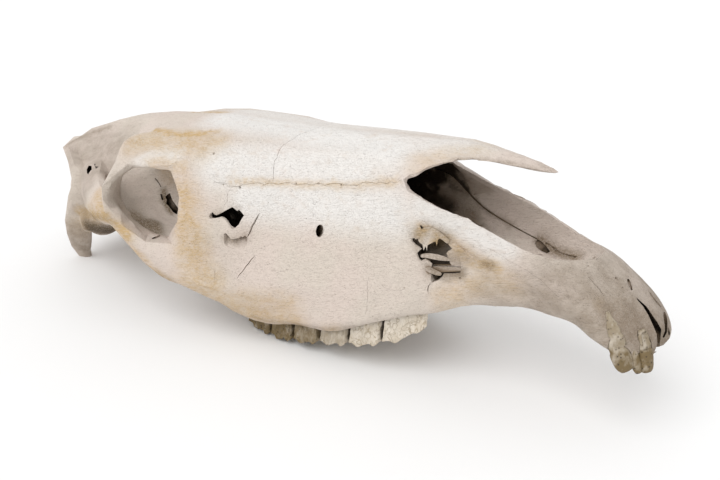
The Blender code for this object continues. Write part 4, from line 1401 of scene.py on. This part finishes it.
def addCamera():
    turn, height, roll = (math.radians(camera[k]) for k in ("turn", "height", "roll"))
    back = Vector((math.sin(turn) * math.cos(height), -math.cos(turn) * math.cos(height), math.sin(height)))
    right = Vector((math.cos(turn), math.sin(turn), 0))
    up = back.cross(right)
    rolledRight = right * math.cos(roll) + up * math.sin(roll)
    rolledUp = up * math.cos(roll) - right * math.sin(roll)
    data = bpy.data.cameras.new("photoCamera")
    data.lens = camera["lens"]
    data.sensor_width = camera["sensor"]
    obj = addObject("photoCamera", data)
    matrix = Matrix((rolledRight, rolledUp, back)).transposed().to_4x4()
    matrix.translation = Vector(camera["place"]) * mm
    obj.matrix_world = matrix
    bpy.context.scene.camera = obj


def photoRay(u, v, shift=0.0):
    # the camera's place, moved back along X, and the way through a pixel of the photograph
    matrix = bpy.context.scene.camera.matrix_world
    zoom = camera["lens"] / camera["sensor"] * photo["width"]
    way = Vector(((u - photo["width"] / 2) / zoom, (photo["height"] / 2 - v) / zoom, -1.0))
    return matrix.translation / mm - Vector((shift, 0, 0)), (matrix.to_3x3() @ way).normalized()


def addLights():
    world = bpy.data.worlds.new("studio")
    world.use_nodes = True
    ground = world.node_tree.nodes["Background"]
    ground.inputs["Color"].default_value = (1, 1, 1, 1)
    ground.inputs["Strength"].default_value = light["worldStrength"]
    bpy.context.scene.world = world
    data = bpy.data.lights.new("softKey", "SUN")
    data.angle = math.radians(light["keySoftness"])
    data.energy = light["keyStrength"]
    key = addObject("softKey", data)
    key.rotation_euler = Vector(light["keyWay"]).to_track_quat("Z", "Y").to_euler()


def addFloor():
    mat = bpy.data.materials.new("floor")
    mat.use_nodes = True
    shader = mat.node_tree.nodes["Principled BSDF"]
    shader.inputs["Base Color"].default_value = light["floor"]
    shader.inputs["Roughness"].default_value = light["floorRough"]
    corners = [(x * light["floorHalf"], y * light["floorHalf"], 0)
               for x, y in ((-1, -1), (1, -1), (1, 1), (-1, 1))]
    floor = meshObject("floor", corners, [(0, 1, 2, 3)])
    floor.data.materials.append(mat)


# Stains, painted shade and painted highlight, laid on the bone by where the photograph shows them

stainsAndPaintedLight = {
    # kind, strength, reach in mm, path in pixels of the 720 x 480 photograph
    "browStreak": ("ochre", 0.9, 3.6, [(155, 130), (160, 131), (168, 133), (180, 134), (200, 134),
                                       (216, 132)]),
    "browPatch": ("ochre", 0.5, 14, [(140, 143), (160, 141), (185, 142), (208, 143)]),
    "browSpots": ("ochre", 0.5, 5, [(158, 160), (166, 166), (182, 168)]),
    "socketFront": ("ochre", 0.6, 13, [(181, 196), (186, 215), (190, 238), (194, 262), (206, 284)]),
    "socketBrow": ("ochre", 0.35, 7, [(150, 160), (162, 168), (170, 178)]),
    "archStreak": ("ochre", 1.0, 5, [(80, 212), (92, 215), (104, 217), (117, 226), (128, 236)]),
    "archPatch": ("ochre", 0.55, 9, [(96, 198), (100, 206), (84, 224), (78, 230)]),
    "archLow": ("ochre", 0.6, 6, [(118, 232), (132, 248), (150, 268), (176, 284)]),
    "cheekStreak": ("ochre", 0.5, 2.2, [(194, 262), (197, 270)]),
    "cheekLow": ("ochre", 0.5, 14, [(190, 286), (215, 300), (245, 312), (290, 322)]),
    "crestSheen": ("ochre", 0.4, 10, [(236, 300), (262, 304), (290, 306)]),
    "gumLine": ("ochre", 0.42, 6, [(262, 326), (300, 331), (345, 331), (372, 326)]),
    "muzzleLow": ("ochre", 0.42, 9, [(446, 300), (462, 290), (486, 284), (512, 287)]),
    "muzzleScoop": ("ochre", 0.6, 5, [(448, 243), (462, 254), (474, 261), (484, 265), (496, 269)]),
    "seamDirt": ("ochre", 0.45, 2.6, [(232, 182), (262, 182), (300, 184), (350, 186), (395, 182)]),
    "nasalRoot": ("ochre", 0.3, 9, [(420, 162), (450, 153), (480, 151)]),
    "membraneTint": ("ochre", 0.8, 5, [(423, 233), (430, 236), (438, 241)]),
    "snoutSpot": ("ochre", 0.7, 2.4, [(597, 300), (601, 307)]),
    # pale: partly sun-bleaching and partly a painted highlight on the lit top and upper sides
    "frontalPale": ("pale", 1.0, 20, [(228, 118), (250, 122), (290, 128), (340, 138), (390, 148)]),
    "seamPale": ("pale", 0.9, 16, [(220, 165), (262, 162), (310, 164), (360, 168)]),
    "cheekPale": ("pale", 0.9, 16, [(250, 196), (290, 200), (340, 206), (390, 212)]),
    "nasalPale": ("pale", 0.8, 12, [(400, 146), (440, 144), (478, 147)]),
    "browPale": ("pale", 0.8, 8, [(146, 158), (158, 152), (175, 156)]),
    "muzzlePale": ("pale", 0.8, 8, [(420, 208), (450, 220), (480, 236), (505, 248)]),
    # the temple's greys are partly a grey stain and partly painted shade on the side facing away from the
    # key light
    "templeWall": ("grey", 0.7, 22, [(84, 150), (104, 150), (120, 146), (100, 168)]),
    "temple": ("grey", 0.6, 16, [(88, 172), (84, 196), (80, 214)]),
    "jugular": ("grey", 1.0, 16, [(78, 232), (82, 248)]),
    "snoutGrey": ("grey", 0.95, 26, [(612, 290), (630, 318), (650, 340)]),
    "snoutLow": ("grey", 1.0, 24, [(592, 316), (604, 336)]),
    "snoutEnd": ("grey", 1.0, 14, [(640, 322), (654, 345)]),
    "snoutShade": ("brown", 0.42, 14, [(622, 320), (634, 330), (652, 330)]),
    "muzzleGrey": ("grey", 0.9, 22, [(545, 302), (560, 306), (565, 285), (590, 292)]),
    "muzzleSide": ("grey", 0.6, 16, [(500, 300), (525, 305)]),
    "farRim": ("grey", 0.3, 14, [(480, 178), (520, 200), (560, 226), (590, 246)]),
    "holeShade": ("grey", 0.35, 6, [(244, 232), (238, 240)]),
    "cheekGrey": ("grey", 0.2, 16, [(204, 250), (214, 262)]),
    "eyeWall": ("grey", 0.32, 22, [(136, 184), (144, 200), (150, 212)]),
    "eyeRing": ("grey", 0.45, 9, [(112, 180), (113, 196), (118, 212)]),
    "palePatchTint": ("grey", 0.6, 5, [(452, 256), (458, 256), (462, 260)]),
    "lowerPlateTint": ("grey", 1.0, 4, [(436, 269.5), (448, 270.5), (460, 271.5)]),
    "upperPlateTint": ("brown", 0.5, 4, [(424, 255.5), (436, 256.5), (447, 259)]),
    "brownPlateTint": ("brown", 0.8, 1.8, [(431, 261), (440, 262.5), (448, 263.5)]),
    "flapTint": ("brown", 0.55, 4, [(429, 269.5), (435, 271.5), (439, 274)]),
    "lowerPlateDirt": ("brown", 0.6, 4, [(440, 270), (460, 271.5)]),
    "eyeLow": ("brown", 0.85, 10, [(134, 216), (146, 223), (156, 227)]),
    "eyeRag": ("brown", 0.9, 3.5, [(164, 192), (165, 202), (170, 212)]),
    # painted shadow: the underside below the arch is darkened brown
    "underArch": ("brown", 1.0, 9, [(88, 227), (94, 229), (100, 230.5), (106, 231), (113, 230)]),
    "archRoot": ("brown", 0.35, 3.5, [(84, 214), (96, 216), (112, 222)]),
    "napeEdge": ("brown", 0.5, 2.2, [(65, 146), (76, 139), (92, 132), (110, 127)]),
    "farLow": ("brown", 0.5, 6, [(420, 190), (440, 198), (458, 206), (472, 214)]),
    # painted shade: nearly black in the far corner inside the nose
    "farDeep": ("paintedShade", 0.9, 5, [(411, 186), (424, 194), (438, 201), (450, 207)]),
    "farHoleEdge": ("brown", 0.8, 4, [(540, 240), (552, 249), (564, 254), (576, 257)]),
    "farSeamDirt": ("brown", 0.7, 1.5, [(433, 167.5), (450, 174), (463, 186), (483, 207), (513, 226)]),
    "breakTop": ("brown", 0.5, 6, [(418, 236), (426, 231), (436, 236), (444, 241)]),
    "breakScoop": ("brown", 0.3, 4, [(462, 254), (474, 261), (486, 266)]),
    "scoopSpot": ("brown", 0.65, 2.5, [(486, 264), (494, 268)]),
    "breakEdge": ("brown", 0.4, 2.4, [(416, 240), (418, 252), (426, 262), (428, 276)]),
    "holeEdge": ("brown", 0.4, 2.0, [(212, 215), (222, 212), (234, 208), (242, 214)]),
    "dentEdge": ("brown", 0.5, 3.0, [(226, 238), (236, 240), (245, 236)]),
    "snoutBrown": ("brown", 0.6, 2.2, [(650, 293), (656, 300), (662, 308)]),
    "farStump": ("brown", 0.75, 9, [(663, 336), (666, 346), (659, 348)]),
    "nasalEdge": ("brown", 0.4, 1.4, [(452, 159.5), (480, 160), (510, 163), (540, 169)]),
    "nasalTip": ("brown", 0.25, 4, [(545, 166), (554, 169)]),
    "crownLine": ("ochre", 0.9, 1.6, [(190, 112), (210, 112), (232, 112)]),
    "underShade": ("paintedShade", 0.6, 6, [(90, 228.5), (96, 230), (102, 230.5), (108, 230.5)]),
    "gumDirt": ("brown", 0.35, 2.2, [(256, 318), (275, 322), (300, 325), (325, 329), (355, 327)]),
    # painted shade under the facial crest
    "crestUnder": ("brown", 0.22, 6, [(150, 270), (180, 286), (212, 300), (240, 316)]),
}
stainSpread = {
    "step": 3.0,                # pixels between the points of a path
    "core": 0.25,               # it is full up to this share of its reach
    "edge": 1.9,                # and gone at this one
    "facing": (-0.45, 0.1),
    "wideReach": 8,             # stains as wide as this are mirrored to the hidden side
    "hiddenShare": 0.8,
}


def stainAndPaintedLightMaps(obj):
    # how much of each stain, painted shade and painted highlight lies on each point; the unseen side gets
    # the wide ones, weaker
    spread = stainSpread
    points, facing, tree = pointsOf(obj), facingOf(obj), surfaceOf(obj)
    maps = {kind: np.zeros(len(points)) for kind in ("ochre", "grey", "pale", "brown", "paintedShade")}
    for name, (kind, strength, reach, path) in stainsAndPaintedLight.items():
        laid, faced = [], Vector()
        for u, v in evenSteps(path, spread["step"]):
            start, way = photoRay(u, v)
            spot, normal, _, _ = tree.ray_cast(start, way)
            if spot is not None:
                laid.append(spot)
                faced += normal if normal.dot(way) < 0 else -normal
        if not laid:
            print("   off the bone:", name)
            continue
        hidden = spread["hiddenShare"] if reach >= spread["wideReach"] else 0.0
        for flip, share in zip(mirrors, (1.0, hidden)):
            away = awayFrom(points, np.array(laid) * flip, reach * 2)
            toward = softStep(facing @ (np.array(faced.normalized()) * flip), *spread["facing"])
            fade = 1 - softStep(away, reach * spread["core"], reach * spread["edge"])
            maps[kind] = np.maximum(maps[kind], share * strength * toward * fade)
    return maps


# rays over each point: how many, lift off the surface, least lean away from it, reaches
# these shares darken the colour of the bone and the teeth as painted shade
boneRays = {"directions": 64, "lift": 0.35, "lean": 0.25, "reaches": (170, 9)}
toothRays = {"directions": 24, "lift": 0.3, "lean": 0.25, "reaches": (9,)}


def skyWays(count):
    # even directions over a ball
    k = np.arange(count) + 0.5
    height = 1 - 2 * k / count
    turn = math.pi * (1 + 5 ** 0.5) * k
    flat = np.sqrt(1 - height * height)
    return np.column_stack([np.cos(turn) * flat, np.sin(turn) * flat, height])


def openTo(obj, tree, rays):
    # for each reach, the share of rays from each point that meet nothing on the way
    points, facing = pointsOf(obj), facingOf(obj)
    ways = skyWays(rays["directions"])
    vectors = [Vector(way) for way in ways]
    lean = facing @ ways.T
    found = np.ones((len(rays["reaches"]), len(points)))
    for i in range(len(points)):
        start = Vector(points[i] + facing[i] * rays["lift"])
        chosen = np.nonzero(lean[i] > rays["lean"])[0]
        gaps = [tree.ray_cast(start, vectors[j], max(rays["reaches"]))[3] for j in chosen]
        for k, reach in enumerate(rays["reaches"]):
            if gaps:
                found[k, i] = sum(gap is None or gap > reach for gap in gaps) / len(gaps)
    return found


def addMap(obj, name, values):
    layer = obj.data.attributes.new(name, "FLOAT", "POINT")
    layer.data.foreach_set("value", np.ascontiguousarray(values, dtype=np.float32))


# Materials

class Nodes:
    # a small helper that adds and links shader nodes
    def __init__(self, name):
        self.mat = bpy.data.materials.new(name)
        self.mat.use_nodes = True
        self.tree = self.mat.node_tree
        self.shader = self.tree.nodes["Principled BSDF"]

    def add(self, kind, inputs=None, **settings):
        node = self.tree.nodes.new("ShaderNode" + kind)
        for key, value in settings.items():
            setattr(node, key, value)
        for key, value in (inputs or {}).items():
            self.feed(node.inputs[key], value)
        return node

    def feed(self, socket, value):
        if isinstance(value, bpy.types.NodeSocket):
            self.tree.links.new(value, socket)
        else:
            socket.default_value = value

    def map(self, name):
        return self.add("Attribute", attribute_name=name).outputs["Fac"]

    def place(self, scale, turn=None):
        # object coordinates in millimetres, stretched by scale
        coords = self.add("TexCoord").outputs["Object"]
        if turn:
            coords = self.add("Mapping", {"Vector": coords, "Rotation": turn}).outputs["Vector"]
        return self.add("Mapping", {"Vector": coords, "Scale": [s * 1000 for s in scale]}).outputs["Vector"]

    def noises(self, rows):
        found = {}
        for name, (scale, detail, rough, warp, turn) in rows.items():
            inputs = {"Vector": self.place(scale, turn), "Scale": 1.0, "Detail": detail,
                      "Roughness": rough, "Distortion": warp}
            found[name] = self.add("TexNoise", inputs).outputs["Fac"]
        return found

    def cells(self, where, **settings):
        return self.add("TexVoronoi", {"Vector": where, "Scale": 1.0}, **settings).outputs["Distance"]

    def ramp(self, value, low, high, start=0.0, end=1.0):
        return self.add("MapRange", {"Value": value, "From Min": low, "From Max": high, "To Min": start,
                                     "To Max": end}, interpolation_type="SMOOTHSTEP").outputs["Result"]

    def maths(self, operation, a, b=0.0, clamp=False):
        return self.add("Math", {0: a, 1: b}, operation=operation, use_clamp=clamp).outputs["Value"]

    def mix(self, share, a, b, blend="MIX"):
        node = self.add("Mix", data_type="RGBA", blend_type=blend)
        self.feed(node.inputs["Factor"], share)
        self.feed(node.inputs["A"], a if isinstance(a, bpy.types.NodeSocket) else (*a, 1))
        self.feed(node.inputs["B"], b if isinstance(b, bpy.types.NodeSocket) else (*b, 1))
        return node.outputs["Result"]

    def finish(self, look, colour, heights):
        # the colour, the shine, and the bumps on top of one another
        self.feed(self.shader.inputs["Base Color"], colour)
        self.shader.inputs["Roughness"].default_value = look["rough"]
        self.shader.inputs["Specular IOR Level"].default_value = look["specular"]
        normal = None
        for name, (distance, strength) in look["bumps"].items():
            inputs = {"Height": heights[name], "Distance": distance * mm, "Strength": strength}
            if normal is not None:
                inputs["Normal"] = normal
            normal = self.add("Bump", inputs).outputs["Normal"]
        self.feed(self.shader.inputs["Normal"], normal)
        return self.mat


# A noise has its scale, detail, roughness, distortion and turn. A range is (from, to), with the
# lowest and highest result where they aren't 0 and 1. A bump has its distance in mm and strength.

boneLook = {
    "cream": (0.66, 0.585, 0.51),
    "rose": (0.675, 0.58, 0.515),
    "bleachAndHighlight": (0.79, 0.765, 0.735),
    "ochre": (0.56, 0.39, 0.195),
    "grey": (0.325, 0.265, 0.21),
    "brown": (0.17, 0.115, 0.06),
    "dirtAndShade": (0.20, 0.135, 0.085),
    "dark": (0.02, 0.012, 0.006),
    "rough": 0.72,
    "specular": 0.28,
    "noises": {
        "broad": ((0.022, 0.022, 0.022), 2.0, 0.55, 0.0, None),
        "patchy": ((0.09, 0.13, 0.13), 4.0, 0.6, 0.0, None),
        "fine": ((0.7, 0.9, 0.9), 4.0, 0.65, 0.0, None),
        "grain": ((0.10, 1.1, 1.1), 5.0, 0.6, 0.3, (0, 0.28, 0)),
        "worm": ((0.30, 0.62, 0.62), 3.0, 0.5, 1.8, (0, 0.35, 0)),
    },
    "roseIn": (0.35, 0.65),
    # each map's colour, and the noises that break it up
    "stainsAndPaintedLight": {
        "pale": ("bleachAndHighlight", {"patchy": (0.1, 0.5)}),
        "ochre": ("ochre", {"patchy": (0.3, 0.62, 0.55, 1.25), "grain": (0.3, 0.62, 0.5, 1.2)}),
        "grey": ("grey", {"patchy": (0.25, 0.7, 0.55, 1.0)}),
        "brown": ("brown", {"fine": (0.3, 0.62, 0.5, 1.15)}),
    },
    "dirtIn": {"grain": (0.56, 0.78, 0.0, 0.30), "worm": (0.54, 0.68, 0.0, 0.20)},
    "poreScale": (0.55, 0.75, 0.75),
    "poreSize": (0.20, 0.06),
    "poresIn": (0.48, 0.62),
    "poreDirt": 0.7,
    # painted shade in crevices and hollows, from an open place to a shut-in one
    "closeShade": (0.60, 0.12, 0.0, 0.85),
    "deepShadeBrown": (0.28, 0.07, 0.0, 0.6),
    "deepShadeDark": (0.12, 0.035),
    "bumps": {"worm": (1.1, 0.8), "grain": (0.8, 0.8), "fine": (0.2, 0.7), "pores": (-0.4, 0.7)},
}
toothLook = {
    "pale": (0.74, 0.67, 0.575),
    "tan": (0.34, 0.25, 0.13),
    "brown": (0.17, 0.12, 0.055),
    "pitAndShade": (0.045, 0.03, 0.018),
    "rough": 0.55,
    "specular": 0.35,
    "noises": {
        "patchy": ((0.16, 0.16, 0.12), 4.0, 0.6, 0.0, None),
        "fine": ((0.8, 0.8, 0.6), 4.0, 0.65, 0.0, None),
        "streak": ((0.9, 0.9, 0.10), 4.0, 0.6, 0.4, None),
    },
    "tanIn": (0.35, 0.65, 0.0, 0.35),
    "brownIn": (0.25, 0.6, 0.65, 1.15),
    "streakIn": (0.56, 0.74, 0.0, 0.35),
    # the net of cracks: its cells, how far and over what scale they are bent, and its lines
    "netScale": (0.10, 0.10, 0.085),
    "bend": (3.0, 3.0, 3.0),
    "bendScale": (0.12, 0.12, 0.12),
    "netLine": (0.045, 0.012),
    "netTan": 0.6,
    "pitScale": (0.42, 0.42, 0.34),
    "pitSize": (0.30, 0.12),
    "pitsIn": (0.3, 0.9, 0.1, 1.0),
    "pitDirt": 0.8,
    "closeShade": (0.55, 0.10, 0.0, 0.9),
    "bumps": {"streak": (0.5, 0.6), "fine": (0.25, 0.6), "line": (-0.5, 0.7), "pits": (-0.5, 0.7)},
}


def boneMaterial():
    look = boneLook
    n = Nodes("bone")
    noise = n.noises(look["noises"])
    colour = n.mix(n.ramp(noise["broad"], *look["roseIn"]), look["cream"], look["rose"])
    for kind, (tint, breakUp) in look["stainsAndPaintedLight"].items():
        share = n.map(kind)
        for name, limits in breakUp.items():
            share = n.maths("MULTIPLY", share, n.ramp(noise[name], *limits), clamp=True)
        colour = n.mix(share, colour, look[tint])
    # dirt in the grain and in the pores, and painted shade in crevices and hollows
    for name, limits in look["dirtIn"].items():
        colour = n.mix(n.ramp(noise[name], *limits), colour, look["dirtAndShade"])
    pores = n.ramp(n.cells(n.place(look["poreScale"])), *look["poreSize"])
    pores = n.maths("MULTIPLY", pores, n.ramp(noise["patchy"], *look["poresIn"]))
    colour = n.mix(n.maths("MULTIPLY", pores, look["poreDirt"]), colour, look["dirtAndShade"])
    # painted shade: crevices towards brown, deep hollows towards brown and nearly black
    colour = n.mix(n.ramp(n.map("close"), *look["closeShade"]), colour, look["dirtAndShade"])
    colour = n.mix(n.ramp(n.map("far"), *look["deepShadeBrown"]), colour, look["brown"])
    colour = n.mix(n.ramp(n.map("far"), *look["deepShadeDark"]), colour, look["dark"])
    # painted shadow map laid on by pixel paths, mixed towards near black
    colour = n.mix(n.map("paintedShade"), colour, look["dark"])
    return n.finish(look, colour, {**noise, "pores": pores})


def toothMaterial():
    # cement and enamel: pale with a net of tan cracks in front, brown and pitted behind
    look = toothLook
    n = Nodes("tooth")
    noise = n.noises(look["noises"])
    colour = n.mix(n.ramp(noise["patchy"], *look["tanIn"]), look["pale"], look["tan"])
    brown = n.maths("MULTIPLY", n.map("stain"), n.ramp(noise["patchy"], *look["brownIn"]), clamp=True)
    colour = n.mix(brown, colour, look["brown"])
    bent = n.add("TexNoise", {"Vector": n.place(look["bendScale"]), "Scale": 1.0, "Detail": 2.0})
    shift = n.add("VectorMath", {0: bent.outputs["Color"], 1: look["bend"]}, operation="MULTIPLY")
    place = n.add("VectorMath", {0: n.place(look["netScale"]), 1: shift.outputs["Vector"]}, operation="ADD")
    net = n.cells(place.outputs["Vector"], feature="DISTANCE_TO_EDGE")
    line = n.maths("MULTIPLY", n.ramp(net, *look["netLine"]), n.map("net"))
    colour = n.mix(n.maths("MULTIPLY", line, look["netTan"]), colour, look["tan"])
    colour = n.mix(n.ramp(noise["streak"], *look["streakIn"]), colour, look["brown"])
    pits = n.ramp(n.cells(n.place(look["pitScale"])), *look["pitSize"])
    pits = n.maths("MULTIPLY", pits, n.ramp(n.map("stain"), *look["pitsIn"]))
    colour = n.mix(n.maths("MULTIPLY", pits, look["pitDirt"]), colour, look["pitAndShade"])
    # painted shade: shut-in places of the teeth darkened towards the pit colour
    colour = n.mix(n.ramp(n.map("close"), *look["closeShade"]), colour, look["pitAndShade"])
    return n.finish(look, colour, {**noise, "line": line, "pits": pits})


def finishCranium(skull):
    skull.name = "craniumBone"
    skull.data.shade_smooth()
    skull.data.set_sharp_from_angle(angle=math.radians(cranium["sharpAbove"]))
    skull.data.materials.clear()
    for name, values in stainAndPaintedLightMaps(skull).items():
        addMap(skull, name, values)
    # far and close are shares of open sky; the bone's colour darkens with them as painted shade
    far, close = openTo(skull, surfaceOf(skull), boneRays)
    addMap(skull, "far", far)
    addMap(skull, "close", close)
    skull.data.materials.append(boneMaterial())
    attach(skull, root)
    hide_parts("cranium")


def finishTooth(tooth, node, stain, mat, tree):
    # how brown it is, more so at the worn end, and how shut in, for the painted shade in its crevices
    heights = pointsOf(tooth)[:, 2]
    share = (heights - heights.min()) / (heights.max() - heights.min())
    level = stain + toothShape["wornStain"] * softStep(share, toothShape["wornShare"], 0.0)
    if node.startswith("incisor"):
        level = level * (1 - incisors["rootPaler"] * softStep(heights, *incisors["palerZ"]))
    addMap(tooth, "stain", np.clip(level, 0, 1))
    addMap(tooth, "net", np.full(len(heights), 1.0 if stain < toothShape["netBelow"] else 0.0))
    addMap(tooth, "close", openTo(tooth, tree, toothRays)[0])
    tooth.data.shade_smooth()
    tooth.data.materials.clear()
    tooth.data.materials.append(mat)
    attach(tooth, root)
    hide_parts(node)


def shapeTeeth(bone):
    # each tooth, the node that it replaces and how brown it is
    teeth = []
    for word, side in sides.items():
        for row in cheekTeeth["rows"]:
            stain = toothShape["stain"][row[0]]
            teeth.append((cheekTooth(row, side), "tooth_" + word + "_" + row[0], stain))
    third = incisorTooth("incisorRightThird", bone)
    lobe = sweep("lobe", incisorRows("lobe"), along=6, around=24)
    third = joined("incisorRightThird", [third, lobe])
    second = incisorTooth("incisorRightSecond", bone)
    teeth.append((third, "incisor_right_third", incisors["stain"]["incisorRightThird"]))
    teeth.append((second, "incisor_right_second", incisors["stain"]["incisorRightSecond"]))
    return teeth


bpy.context.scene.view_settings.view_transform = "Standard"
addCamera()
addLights()
addFloor()

print("shaping the cranium")
skull = shapeCranium()
wholeBone = surfaceOf(skull)

print("cutting the sockets, breaks and cracks")
openSockets(skull)
breakBone(skull)
levelBelow(skull)
keepLargest(skull)
splitLong(skull, cranium["longest"])
skull = addPlates(skull)
print("   triangles", triangleCount(skull))

print("shaping the teeth")
teeth = shapeTeeth(wholeBone)
pieces = [skull] + [tooth for tooth, _, _ in teeth]
for piece in pieces:
    moveToFrame(piece)

# the stains go on here together with the painted shade and painted highlight
print("laying the stains")
finishCranium(skull)
everything = surfaceOf(*pieces)
toothMat = toothMaterial()
for tooth, node, stain in teeth:
    finishTooth(tooth, node, stain, toothMat, everything)
